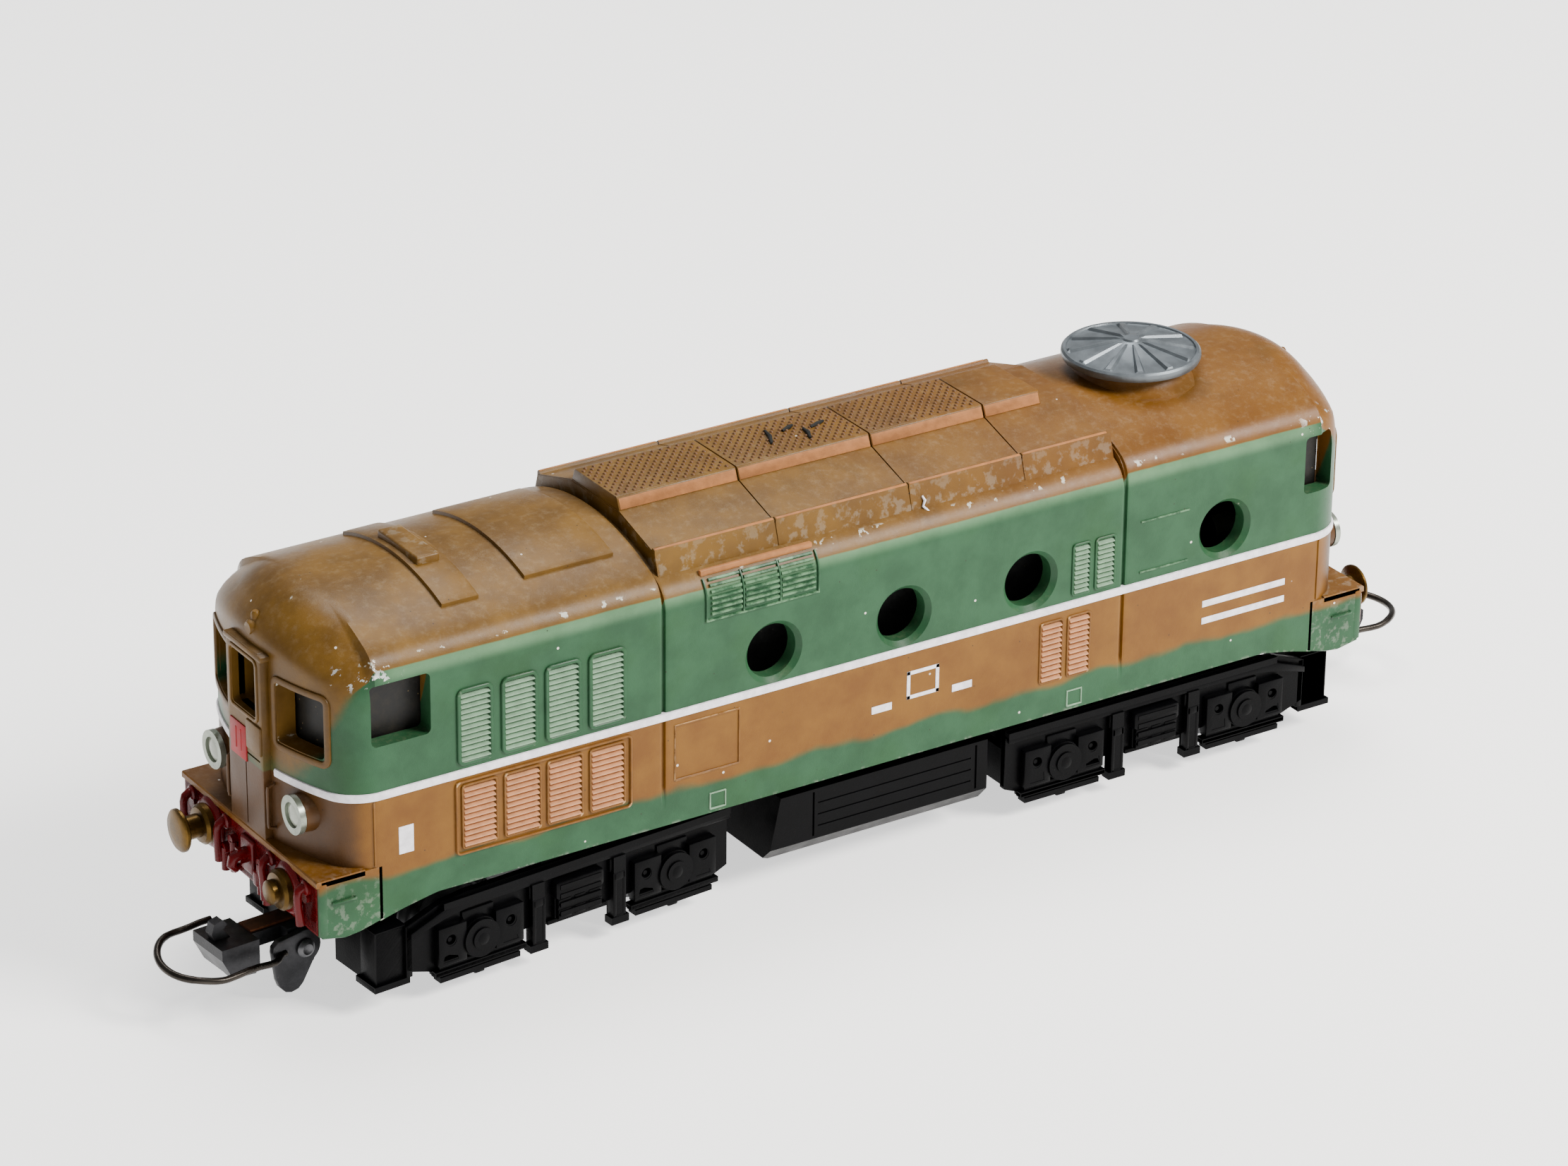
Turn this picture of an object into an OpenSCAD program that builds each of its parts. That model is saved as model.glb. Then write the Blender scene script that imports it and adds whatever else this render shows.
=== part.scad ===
// Model locomotive, HO scale (1:87): a twin-bogie diesel with a die-cast body,
// a sprung-free plastic trailing bogie, a motor bogie with a spur gear train,
// and hook-and-loop couplers on both bogies.
// Millimetres. +Z is up, -X is the near cab, the wheels stand on Z = 0.

/* [Body] */
// Length of the body between the buffer beams
body_len = 153.4; // [153.2:0.1:154]
// Width of the body over its flat sides
body_w = 34; // [33.6:0.1:35]
// Thickness of the cast body walls
wall = 2.4; // [2.2:0.1:2.5]
// Height of the middle of the roof over the cabs
roof_z = 51.2; // [50.6:0.1:52]
// How much lower the roof is between the two joints
roof_drop = 0.9; // [0.4:0.1:1.4]
// Height of the lower edge of the sides
skirt_z = 15.05; // [14.9:0.05:15.6]
// Height of the top of the buffer beams
beam_z = 20.7; // [20:0.1:21.2]
// Height of the lower edge of the waist stripe
stripe_z = 29.2; // [28.8:0.1:29.6]
// Height of the waist stripe
stripe_h = 1.2; // [0.8:0.1:1.6]
// Place along the body of the joint behind the near cab
joint_1 = -29.7; // [-30.5:0.1:-29]
// Place along the body of the joint before the far cab
joint_2 = 38.3; // [37.6:0.1:39]

/* [Windows and louvers] */
// Radius of the round side windows
porthole_r = 3.5; // [3:0.1:3.8]
// Height of the middle of the round side windows
porthole_z = 34.5; // [34:0.1:35]
// Slats in one louver panel
slats = 13; // [5:1:14]
// Distance of each headlamp from the middle
lamp_y = 10; // [9.5:0.1:10.4]
// Height of the headlamps
lamp_z = 26.4; // [26:0.1:26.8]
// Distance of each buffer from the middle
buffer_y = 9.8; // [9.4:0.1:10.2]
// Height of the buffers
buffer_z = 16.9; // [16.6:0.1:17.2]

/* [Running gear] */
// Distance between the axles of a bogie
wheelbase = 28.7; // [28.4:0.1:28.9]
// Radius of the wheel tread
tread_r = 6; // [5.8:0.1:6.1]
// Radius of the wheel flange
flange_r = 7; // [6.8:0.1:7]
// Radius of the axles
axle_r = 1; // [0.9:0.05:1]
// Running clearance of shafts in their bores
run = 0.03; // [0.02:0.01:0.06]
// Turn of the near bogie at rest, in degrees
front_yaw = 4.2; // [-6:0.1:6]
// Turn of the far bogie at rest, in degrees
rear_yaw = 0; // [-6:0.1:6]
// Place of the near bogie's pivot
front_x = -41.8; // [-42.4:0.1:-41.4]
// Place of the far bogie's pivot
rear_x = 45.6; // [45.2:0.1:46.2]

/* [Motor and gears] */
// Module of the gears
gear_m = 0.3; // [0.3:0.01:0.3]
// Teeth on each axle gear
axle_teeth = 32; // [32:1:32]
// Teeth on each idler gear
idler_teeth = 36; // [36:1:36]
// Teeth on the motor pinion
pinion_teeth = 12; // [12:1:12]
// Radius of the rotor
rotor_r = 6.8; // [6:0.1:6.9]

/* [Coupler] */
// Radius of the coupling loop's wire
wire_r = 0.42; // [0.35:0.01:0.5]
// Half width of the coupling loop
loop_r = 5.5; // [5:0.1:5.8]
// Twist of the near loop in its pivot, in degrees
loop_twist = 9; // [0:1:12]

/* [Hidden] */
$fn = 48;
e = 0.01;

shift_x = -1.97;              // brings the middle of the overall length to X = 0
half_l = body_len / 2;
half_w = body_w / 2;

// cross-section of the body: upright sides, a shoulder arc and a roof arc
sh_r = 4;                                  // shoulder radius
sh_y = half_w - sh_r;                      // shoulder centre
sh_z = roof_z - 8;
crown_zc = (roof_z - sh_r + sh_z) / 2 - sh_y * sh_y / (2 * (roof_z - sh_r - sh_z));
crown_r = roof_z - crown_zc;
tan_u = sh_y / (crown_r - sh_r);           // sine of the angle where the arcs meet

// plan of the nose: a large arc and two corner arcs
nose_x = 76.5;                             // middle of the nose
nose_r = 35.4;
corner_r = 3;
nose_c = nose_x - nose_r;
corner_y = half_w - corner_r;
corner_x = nose_c + sqrt(pow(nose_r - corner_r, 2) - corner_y * corner_y);
corner_t = corner_y * nose_r / (nose_r - corner_r);

// side view of the nose: upright front and a dome arc
dome_r = 7.2;
dome_z = roof_z - dome_r;
fan_x = 50.9;                              // middle of the roof fan
dome_x = nose_x - dome_r;

// gear train, in the bogie's own frame
ax_x = wheelbase / 2;
axle_z = flange_r;
r_axle_g = gear_m * axle_teeth / 2;
r_idler = gear_m * idler_teeth / 2;
r_pinion = gear_m * pinion_teeth / 2;
idl_x = 6;
idl_z = axle_z + sqrt(pow(r_axle_g + r_idler, 2) - pow(ax_x - idl_x, 2));
mot_z = idl_z + sqrt(pow(r_idler + r_pinion, 2) - idl_x * idl_x);
gear_y0 = 2.4;
gear_w = 2;

chassis_z = 16;
chassis_h = 2;
disc_r = 14.2;
turret_r = 13;
rear_boss_r = 3;
coup_x = -26.5;                            // coupler pivot, from the bogie's pivot
lever_x = -32.4;                           // lever pivot, from the bogie's pivot
lever_z = 6.4;
portholes = [-14, 5, 24, 54.1];
lug_front_x = -21.5;
lug_rear_x = 69.5;
lug_y = 12.1;

module at_origin() translate([shift_x, 0, 0]) children();
module in_front_bogie() at_origin() translate([front_x, 0, 0]) rotate([0, 0, front_yaw]) children();
module in_rear_bogie() at_origin() translate([rear_x, 0, 0]) rotate([0, 0, 180 + rear_yaw]) children();
module both_sides() { children(); mirror([0, 1, 0]) children(); }
module both_ends() { children(); mirror([1, 0, 0]) children(); }
// a box given by its lowest and highest corners
module span(a, b) translate(a) cube([b[0] - a[0], b[1] - a[1], b[2] - a[2]]);
// a cylinder along Y from y0 to y1 at x, z
module rod_y(x, z, y0, y1, r) translate([x, y0, z]) rotate([-90, 0, 0]) cylinder(r = r, h = y1 - y0);
// a cylinder along X from x0 to x1 at y, z
module rod_x(y, z, x0, x1, r) translate([x0, y, z]) rotate([0, 90, 0]) cylinder(r = r, h = x1 - x0);
// a rectangle with round corners, made of squares and circles
module round_rect(x0, y0, x1, y1, r) {
  translate([x0 + r, y0]) square([x1 - x0 - 2 * r, y1 - y0]);
  translate([x0, y0 + r]) square([x1 - x0, y1 - y0 - 2 * r]);
  for (x = [x0 + r, x1 - r], y = [y0 + r, y1 - r]) translate([x, y]) circle(r = r);
}

// ---------------------------------------------------------------- body shell

// cross-section in Y and Z, made smaller by o, with the roof lower by d
module section_2d(o = 0, d = 0) {
  translate([-half_w + o, -2]) square([2 * (half_w - o), sh_z - d + 2]);
  translate([-sh_y, -2]) square([2 * sh_y, sh_z - d + sh_r - o + 1.6]);
  for (s = [-1, 1]) translate([s * sh_y, sh_z - d]) circle(r = max(0.1, sh_r - o));
  intersection() {
    translate([0, crown_zc - d]) circle(r = crown_r - o, $fn = 96);
    translate([-tan_u * (crown_r - o), sh_z - d - 1]) square([2 * tan_u * (crown_r - o), 20]);
  }
}
module section(x0, x1, o = 0, d = 0)
  translate([x0, 0, 0]) rotate([90, 0, 90]) linear_extrude(x1 - x0) section_2d(o, d);

// plan in X and Y, made smaller by o
module plan_2d(o = 0) {
  translate([-corner_x, -half_w + o]) square([2 * corner_x, 2 * (half_w - o)]);
  for (s = [-1, 1]) {
    intersection() {
      translate([s * nose_c, 0]) circle(r = nose_r - o, $fn = 96);
      translate([s > 0 ? 0 : -90, -corner_y * (nose_r - o) / (nose_r - corner_r)])
        square([90, 2 * corner_y * (nose_r - o) / (nose_r - corner_r)]);
    }
    for (t = [-1, 1]) translate([s * corner_x, t * corner_y]) circle(r = max(0.1, corner_r - o));
  }
}

// side view in X and Z, made smaller by o
module elevation_2d(o = 0) {
  translate([-nose_x + o, -2]) square([2 * (nose_x - o), dome_z + 2]);
  translate([-dome_x, -2]) square([2 * dome_x, roof_z - o + 2.01]);
  for (s = [-1, 1]) translate([s * dome_x, dome_z]) circle(r = dome_r - o);
}

module hull_form(o = 0) {
  intersection() {
    union() {
      section(-80, joint_1, o, 0);
      section(joint_1 - e, joint_2 + e, o, roof_drop);
      section(joint_2, 80, o, 0);
    }
    translate([0, 0, -2]) linear_extrude(60) plan_2d(o);
    rotate([90, 0, 0]) translate([0, 0, -20]) linear_extrude(40) elevation_2d(o);
  }
}

// the lower edge seen from the side
module skirt_cut() {
  rotate([90, 0, 0]) translate([0, 0, -20]) linear_extrude(40)
    for (s = [-1, 1]) scale([s, 1])
      polygon([[-1, -3], [-1, skirt_z], [61.2, skirt_z], [65.6, 14.2], [71.8, 12.6], [73.7, 12.4],
               [76.9, 13], [79, 13], [79, -3]]);
}

// section of the middle roof: a raised slab with the spine on top, lower by o
module middle_roof_2d(o = 0) translate([0, -o]) {
  polygon([[-15, 45], [-13.75, 49.8], [-13.7, 50.4], [-13.1, 50.5], [-12.95, 50.15], [-5.5, 52.45], [-4.9, 54],
           [4.9, 54], [5.5, 52.45], [12.95, 50.15], [13.1, 50.5], [13.7, 50.4], [13.75, 49.8], [15, 45]]);
}
module middle_slab_2d() polygon([[-15, 45], [-13.75, 49.9], [-13, 50.15], [-5.5, 52.45], [5.5, 52.45], [13, 50.15],
                                 [13.75, 49.9], [15, 45]]);
module along(x0, x1) translate([x0, 0, 0]) rotate([90, 0, 90]) linear_extrude(x1 - x0) children();

// a raised outline or panel on the roof, h proud of it
module roof_panel(x0, x1, y, h, d = 0) {
  intersection() {
    section(x0, x1, -h, d);
    span([x0, -y, 40], [x1, y, 60]);
  }
}
module roof_plate(x0, x1, y, h) {
  difference() {
    roof_panel(x0, x1, y, h);
    hull_form(0.2);
  }
}

// one louver panel on the -Y side: a sunk panel with slats
module louver_cut(x0, x1, z0, z1, n, deep = 0.4) {
  p = (z1 - z0) / n;
  difference() {
    span([x0, -half_w - 1, z0], [x1, -half_w + deep, z1]);
    for (i = [0 : n - 1])
      span([x0 - 1, -half_w + 0.05, z0 + (i + 0.3) * p], [x1 + 1, -half_w + 2, z0 + (i + 0.82) * p]);
  }
}

module cab_window_cut(x0, x1)
  translate([0, -half_w + wall + 1, 0]) rotate([90, 0, 0]) linear_extrude(6)
    round_rect(x0, 36.2, x1, 44.1, 0.9);

module body_shell() color([0.44, 0.31, 0.18]) at_origin() {
  difference() {
    union() {
      hull_form(0);
      // straight skirt and buffer beams
      span([-half_l + 0.01, -half_w, 8], [half_l - 0.01, half_w, beam_z - 0.3]);
      span([-half_l - 0.7, -half_w, beam_z - 0.8], [half_l + 0.7, half_w, beam_z]);
      // waist stripe
      difference() {
        translate([0, 0, stripe_z]) linear_extrude(stripe_h) plan_2d(-0.15);
        translate([0, 0, stripe_z - 1]) linear_extrude(stripe_h + 2) plan_2d(0.6);
      }
      both_ends() {
        // nose door with its lintel
        span([-77.3, -4.3, beam_z - 0.5], [-72, 4.3, 44.4]);
        span([-77.5, -4.7, 44], [-72, 4.7, 44.8]);
        // lamp boss over the door
        rod_x(0, 46.6, -76.6, -72, 1);
        translate([-75.4, 0, 46.2]) cylinder(r = 0.55, h = 2.4);
        // headlamp sockets
        for (s = [-1, 1]) rod_x(s * lamp_y, lamp_z, -76, -70, 2.35);
      }
      // windscreen frames
      both_ends() both_sides() intersection() {
        translate([0, 0, 30]) linear_extrude(20) plan_2d(-0.3);
        rotate([90, 0, -90]) translate([0, 0, 60]) linear_extrude(20)
          round_rect(4.9, 32.2, 14.2, 42.6, 1.6);
      }
      // roof outlines and boxes over the near cab
      roof_plate(-57.3, -52, 12, 0.45);
      roof_plate(-45.5, -32.9, 11, 0.45);
      difference() { roof_panel(-56.4, -53.2, 4.8, 1.1); hull_form(0.2); }
      // raised middle roof with its rails, and the tread-plate spine
      difference() {
        union() {
          along(joint_1 + 0.3, joint_2 - 0.3) middle_slab_2d();
          along(-28.9, 33) middle_roof_2d();
        }
        hull_form(0.2);
      }
      // collar of the roof fan
      translate([fan_x, 0, roof_z - 2]) cylinder(r = 6.8, h = 3.3);
      translate([fan_x, 0, roof_z - 1]) cylinder(r1 = 8.9, r2 = 6.8, h = 1.4);
    }
    difference() {
      hull_form(wall);
      // bosses for the body screws are left standing inside
      both_sides() {
        for (x = [lug_front_x, lug_rear_x]) {
          translate([x, lug_y, chassis_z + chassis_h]) cylinder(r = 2, h = 7);
          span([x - 1.5, lug_y, chassis_z + chassis_h + 2], [x + 1.5, half_w - wall + 1, chassis_z + chassis_h + 7]);
        }
      }
    }
    span([-half_l + 1.8, -half_w + wall, -2], [half_l - 1.8, half_w - wall, beam_z - 1.6]);
    both_sides() for (x = [lug_front_x, lug_rear_x])
      translate([x, lug_y, chassis_z + chassis_h - 2]) cylinder(r = 0.75, h = 7);
    skirt_cut();
    // joint lines round the body
    for (g = [joint_1, joint_2]) difference() {
      span([g - 0.22, -20, 19], [g + 0.22, 20, 60]);
      section(g - 1, g + 1, 0.35, g > 0 ? 0 : roof_drop - 0.9 + 0.9);
    }
    // the slab is hollow underneath
    along(joint_1 + 2.6, joint_2 - 2.6) polygon([[-12.2, 44], [-11.2, 47.9], [-5, 50], [5, 50], [11.2, 47.9], [12.2, 44]]);
    // seams of the middle roof
    for (g = [-11.9, 7.5, 24.4]) difference() {
      span([g - 0.15, -13.6, 47], [g + 0.15, 13.6, 60]);
      along(g - 1, g + 1) middle_roof_2d(0.2);
    }
    both_sides() {
      for (x = portholes) {
        rod_y(x, porthole_z, -half_w - 1, -half_w + wall + 1, porthole_r);
        translate([x, -half_w - 0.01, porthole_z]) rotate([-90, 0, 0])
          cylinder(r1 = porthole_r + 0.6, r2 = porthole_r, h = 0.7);
      }
      cab_window_cut(-69.6, -61.7);
      cab_window_cut(66.6, 71.4);
      // louvers
      for (c = [[-58.1, -53.5], [-52.1, -47.4], [-46.1, -41.4], [-40.1, -35.2]]) {
        louver_cut(c[0], c[1], 31, 40.7, slats);
        louver_cut(c[0], c[1], 19.8, 28.3, slats - 2);
      }
      for (c = [[-23, -18.6], [-18.2, -13.4], [-13, -8]]) louver_cut(c[0], c[1], 39.2, 42.4, 4);
      for (c = [[30.3, 33.1], [33.8, 36.9]]) louver_cut(c[0], c[1], 30.9, 38, 9);
      for (c = [[25.6, 29.2], [29.8, 33.4]]) louver_cut(c[0], c[1], 19.8, 28.3, slats - 2);
      // hatch outline
      difference() {
        span([-28.1, -half_w - 1, 20.9], [-19, -half_w + 0.2, 28.2]);
        span([-27.8, -half_w - 2, 21.2], [-19.3, -half_w + 1, 27.9]);
      }
      // windscreens
      both_ends() rotate([90, 0, -90]) translate([0, 0, 69]) linear_extrude(12)
        round_rect(5.8, 34.2, 13.3, 41.9, 1.2);
    }
    both_ends() {
      // door window
      rotate([90, 0, -90]) translate([0, 0, 69]) linear_extrude(12) round_rect(-2.9, 36.2, 2.9, 43.3, 0.8);
      // headlamp bores
      for (s = [-1, 1]) rod_x(s * lamp_y, lamp_z, -78, -68, 1.9);
      // slot under the door window and the door's middle line
      span([-78, -4.3, 32.4], [-77.1, 4.3, 32.7]);
      span([-78, -0.1, 21.5], [-77.15, 0.1, 29]);
    }
    // seat of the fan cap
    translate([fan_x, 0, roof_z - 5]) cylinder(r = 2, h = 10);
  }
}

// ------------------------------------------------------------- fixed parts

module chassis() color([0.16, 0.16, 0.17]) at_origin() difference() {
  union() {
    span([-half_l + 2, -half_w + wall + 0.2, chassis_z], [half_l - 2, half_w - wall - 0.2, chassis_z + chassis_h]);
    both_ends() both_sides() span([60, 5, chassis_z + 1], [64, 9, 21.5]);
  }
  translate([front_x, 0, chassis_z - 1]) cylinder(r = turret_r + 0.05, h = 5, $fn = 96);
  translate([rear_x, 0, chassis_z - 1]) cylinder(r = rear_boss_r + 0.05, h = 5);
  for (x = [-16.5, 27]) translate([x, 0, chassis_z - 1]) cylinder(r = 0.9, h = 6);
  both_sides() for (x = [lug_front_x, lug_rear_x])
    translate([x, lug_y, chassis_z - 1]) cylinder(r = 0.9, h = 6);
}

module fuel_tank() color([0.1, 0.1, 0.11]) at_origin() difference() {
  union() {
    intersection() {
      rotate([90, 0, 0]) translate([0, 0, -15]) linear_extrude(30)
        polygon([[-11.5, 12.9], [-13.3, 4.6], [-12.2, 4], [19.5, 4], [19.5, 12.9]]);
      rotate([90, 0, 90]) translate([0, 0, -14]) linear_extrude(40)
        polygon([[-13.2, 4], [-15, 6], [-15, 12.9], [15, 12.9], [15, 6], [13.2, 4]]);
    }
    span([-10, -12.6, 12.8], [18, 12.6, chassis_z]);
  }
  // panel lines on the sides
  both_sides() {
    for (x = [-6.8, 17.6]) span([x, -16, 6.4], [x + 0.3, -14.75, 12.5]);
    for (z = [7.6, 9.2, 10.8]) span([-6, -16, z], [17, -14.85, z + 0.2]);
  }
}

module roof_fan_cap() color([0.72, 0.74, 0.75]) at_origin() translate([fan_x, 0, roof_z + 1.3]) {
  difference() {
    union() {
      cylinder(r = 9, h = 0.9, $fn = 96);
      translate([0, 0, 0.9]) cylinder(r1 = 8.7, r2 = 1.6, h = 1.5, $fn = 96);
      translate([0, 0, -5.2]) cylinder(r = 2, h = 5.3);
      cylinder(r = 1.2, h = 2.7);
    }
    // sunk fields between the ribs
    for (i = [0 : 15]) rotate([0, 0, i * 22.5 + 11.25])
      translate([2.6, -0.12, 0]) rotate([0, 11, 0]) translate([0, 0, 2.35]) cube([5.8, 0.5, 2]);
  }
}

module buffer_beam_relief() {
  span([-half_l - 0.5, -16.6, 13.4], [-half_l, 16.6, beam_z - 0.8]);
  // draw hook and its plate
  span([-half_l - 0.9, -1.6, 15.2], [-half_l - 0.4, 1.6, 18.8]);
  span([-half_l - 2, -0.4, 16.1], [-half_l - 0.8, 0.4, 17.3]);
  span([-half_l - 2.3, -0.4, 16.9], [-half_l - 1.8, 0.4, 18.1]);
  for (s = [-1, 1]) {
    // buffer seats
    rod_x(s * buffer_y, buffer_z, -half_l - 1.1, -half_l - 0.4, 2.1);
    span([-half_l - 0.7, s * buffer_y - 2.6, 14.6], [-half_l - 0.4, s * buffer_y + 2.6, 19.2]);
    // brake hoses and valves
    rod_x(s * 5.2, 15.6, -half_l - 1.5, -half_l - 0.4, 0.75);
    translate([-half_l - 1.1, s * 5.2, 12.7]) cylinder(r = 0.55, h = 3);
    rod_x(s * 3.6, 17.4, -half_l - 1.3, -half_l - 0.4, 0.6);
    translate([-half_l - 0.9, s * 3.4, 13.2]) cylinder(r = 0.5, h = 4);
    rod_x(s * 14.2, 17.6, -half_l - 0.9, -half_l - 0.4, 0.7);
  }
}
module buffer_beams() color([0.62, 0.05, 0.07]) at_origin() both_ends() difference() {
  buffer_beam_relief();
  for (s = [-1, 1]) rod_x(s * buffer_y, buffer_z, -half_l - 2, -half_l + 1, 1.1);
}

module buffer(head = true) {
  rod_x(0, 0, -half_l - 1.6, -half_l, 1.1);
  rod_x(0, 0, -half_l - 2.2, -half_l - 1.1, 1.6);
  if (head) {
    rod_x(0, 0, -half_l - 4.4, -half_l - 1.9, 0.9);
    translate([-half_l - 4, 0, 0]) rotate([0, -90, 0]) cylinder(r1 = 1.2, r2 = 2.7, h = 0.45);
    intersection() {
      rod_x(0, 0, -half_l - 5.4, -half_l - 4.4, 2.7);
      translate([-half_l - 5.2 + 9, 0, 0]) sphere(r = 9, $fn = 96);
    }
  }
}
module buffers() color([0.45, 0.36, 0.16]) at_origin() {
  translate([0, buffer_y, buffer_z]) buffer();
  // the near right buffer has lost its head
  translate([0, -buffer_y, buffer_z]) buffer(false);
  mirror([1, 0, 0]) for (s = [-1, 1]) translate([0, s * buffer_y, buffer_z]) buffer();
}

module headlamp_bezels() color([0.7, 0.68, 0.62]) at_origin() both_ends() for (s = [-1, 1]) difference() {
  union() {
    rod_x(s * lamp_y, lamp_z, -76.75, -76, 2.45);
    rod_x(s * lamp_y, lamp_z, -76, -73.9, 1.9);
  }
  rod_x(s * lamp_y, lamp_z, -77, -73, 1.6);
}
module headlamp_lenses() color([0.85, 0.9, 0.88, 0.6]) at_origin() both_ends() for (s = [-1, 1])
  union() {
    rod_x(s * lamp_y, lamp_z, -76.3, -73.4, 1.6);
    intersection() {
      rod_x(s * lamp_y, lamp_z, -77.2, -76.2, 1.6);
      translate([-76.75 + 3.2, s * lamp_y, lamp_z]) sphere(r = 3.2);
    }
  }
module headlamp_bulbs() color([0.9, 0.88, 0.8, 0.5]) at_origin() both_ends() {
  rod_x(0, 25.4, -67.6, -64.3, 1.5);
  translate([-67.6, 0, 25.4]) sphere(r = 1.5);
}
module bulb_holders() color([0.72, 0.56, 0.24]) at_origin() both_ends() {
  difference() {
    rod_x(0, 25.4, -64.3, -60.6, 2.1);
    rod_x(0, 25.4, -64.4, -62, 1.6);
  }
  span([-61.6, -2.6, chassis_z + chassis_h], [-61, 2.6, 24]);
  span([-61.6, -2.6, chassis_z + chassis_h], [-58.6, 2.6, chassis_z + chassis_h + 0.5]);
}

// black light box that stands close behind each cab's windows
module cab_insert() difference() {
  intersection() {
    hull_form(wall + 0.3);
    span([-74.4, -20, 30], [-58.6, 20, 60]);
  }
  intersection() {
    hull_form(wall + 1.3);
    span([-73.2, -20, 20], [-50, 20, 60]);
  }
}
module cab_inserts() color([0.05, 0.05, 0.05]) at_origin() both_ends() cab_insert();

module ballast_weight() color([0.2, 0.2, 0.21]) at_origin() difference() {
  rotate([90, 0, 90]) translate([0, 0, -19]) linear_extrude(57)
    polygon([[-9.6, 18], [9.6, 18], [9.6, 37], [7, 40], [-7, 40], [-9.6, 37]]);
  for (x = [-16.5, 27]) translate([x, 0, 17]) cylinder(r = 0.75, h = 7);
}
module screw_up(x, y, z, r, head_r, len) translate([x, y, z]) {
  difference() {
    cylinder(r = head_r, h = 0.9);
    translate([-head_r, -0.15, -0.1]) cube([2 * head_r, 0.3, 0.5]);
  }
  translate([0, 0, 0.85]) cylinder(r = r, h = len);
}
module ballast_screws() color([0.6, 0.6, 0.6]) at_origin()
  for (x = [-16.5, 27]) screw_up(x, 0, chassis_z - 0.9, 0.75, 1.6, 7);
module body_screws() color([0.6, 0.6, 0.6]) at_origin()
  for (x = [lug_front_x, lug_rear_x], s = [-1, 1]) screw_up(x, s * lug_y, chassis_z - 0.9, 0.75, 1.5, 6);

module feed_wires() color([0.6, 0.08, 0.06]) at_origin() {
  for (s = [-1, 1]) {
    rod_x(s * 10.9, 18.5, -15, 57, 0.45);
    translate([57, s * 10.9, 18.5]) sphere(r = 0.45);
    rod_y(57, 18.5, s > 0 ? 1.2 : -10.9, s > 0 ? 10.9 : -1.2, 0.45);
  }
}

// ------------------------------------------------------------- bogie frames

// one cosmetic side frame on the -Y side, in the bogie's own frame
module side_frame() {
  difference() {
    union() {
      // long plate with the ramp towards the buffer beam
      rotate([90, 0, 0]) translate([0, 0, 13.4]) linear_extrude(1)
        polygon([[-24.4, 5], [-24.4, 10.8], [-19.5, 12.6], [-16, 13], [22.9, 13], [22.9, 4.6],
                 [20, 3.4], [9.4, 3.4], [9.4, 5.2], [-9.4, 5.2], [-9.4, 3.4], [-20, 3.4]]);
      // top rail
      span([-19.5, -15.2, 11.9], [22.9, -14.3, 12.8]);
      // keeper strips under the axle boxes
      for (a = [-ax_x, ax_x]) {
        span([a - 6.6, -15.3, 3.2], [a + 6.6, -14.3, 3.9]);
        span([a - 5.8, -15.1, 2.2], [a + 5.8, -13.6, 2.9]);
        span([a - 0.6, -14.9, 2.2], [a + 0.6, -13.6, 3.6]);
        // axle boxes and their caps
        span([a - 6, -15.4, 4.6], [a - 2.4, -14.3, 9.6]);
        span([a + 2.4, -15.4, 4.6], [a + 6, -14.3, 9.6]);
        rod_y(a, axle_z - 0.2, -15.7, -14.3, 2.5);
        rod_y(a, axle_z - 0.2, -15.9, -15.6, 1.4);
      }
      // bolster spring block between the hangers
      span([-3.2, -15.5, 5.6], [3.2, -14.3, 10.6]);
      for (z = [6.1, 7.3, 8.5, 9.7]) span([-3, -15.8, z], [3, -15.4, z + 0.6]);
      for (s = [-1, 1]) {
        span([s * 6 - 0.9, -15.4, 2.6], [s * 6 + 0.9, -14.3, 11.4]);
        span([s * 6 - 1.3, -15.5, 2.2], [s * 6 + 1.3, -14, 3.2]);
      }
    }
    for (a = [-ax_x, ax_x]) {
      rod_y(a - 4.4, 7.9, -16, -14.6, 0.7);
      rod_y(a + 4.2, 7.9, -16, -14.6, 0.7);
      translate([a - 4.4, -14.6, 5.6]) rotate([90, 0, 0]) linear_extrude(2)
        polygon([[-1.1, -0.4], [1.1, -0.4], [0.6, 0.5], [-0.9, 0.2]]);
    }
  }
}

module bogie_frame_common() {
  both_sides() {
    side_frame();
    // upright webs to the bolster ring
    span([-4.6, -14, 12.5], [4.6, -13.4, 14.5]);
  }
  // end beam by the coupler, hollow behind
  difference() {
    union() {
      span([-28.6, -14, 3.9], [-24.3, 14, 11.1]);
      both_sides() span([-29, -14.4, 3.3], [-24, -10.2, 4.1]);
      // tongue that holds the coupler
      span([-28.8, -3.2, 9.3], [-22, 3.2, 11.1]);
    }
    span([-27.4, -12.8, 3], [-23, 12.8, 9.3]);
    span([-30, -5.2, 2], [-27, 5.2, 9.3]);
    translate([coup_x, 0, 5]) cylinder(r = 1, h = 10);
  }
  span([-24.6, -5, 9.3], [-17.2, 1.8, 11.1]);
  span([-21.6, -5, 5], [-17.2, 1.8, 9.5]);
  // cross-beam at the inner end
  span([21.7, -13.6, 5], [22.9, 13.6, 10]);
  span([17.2, -5, 5], [21.9, 1.8, 10]);
}

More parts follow.
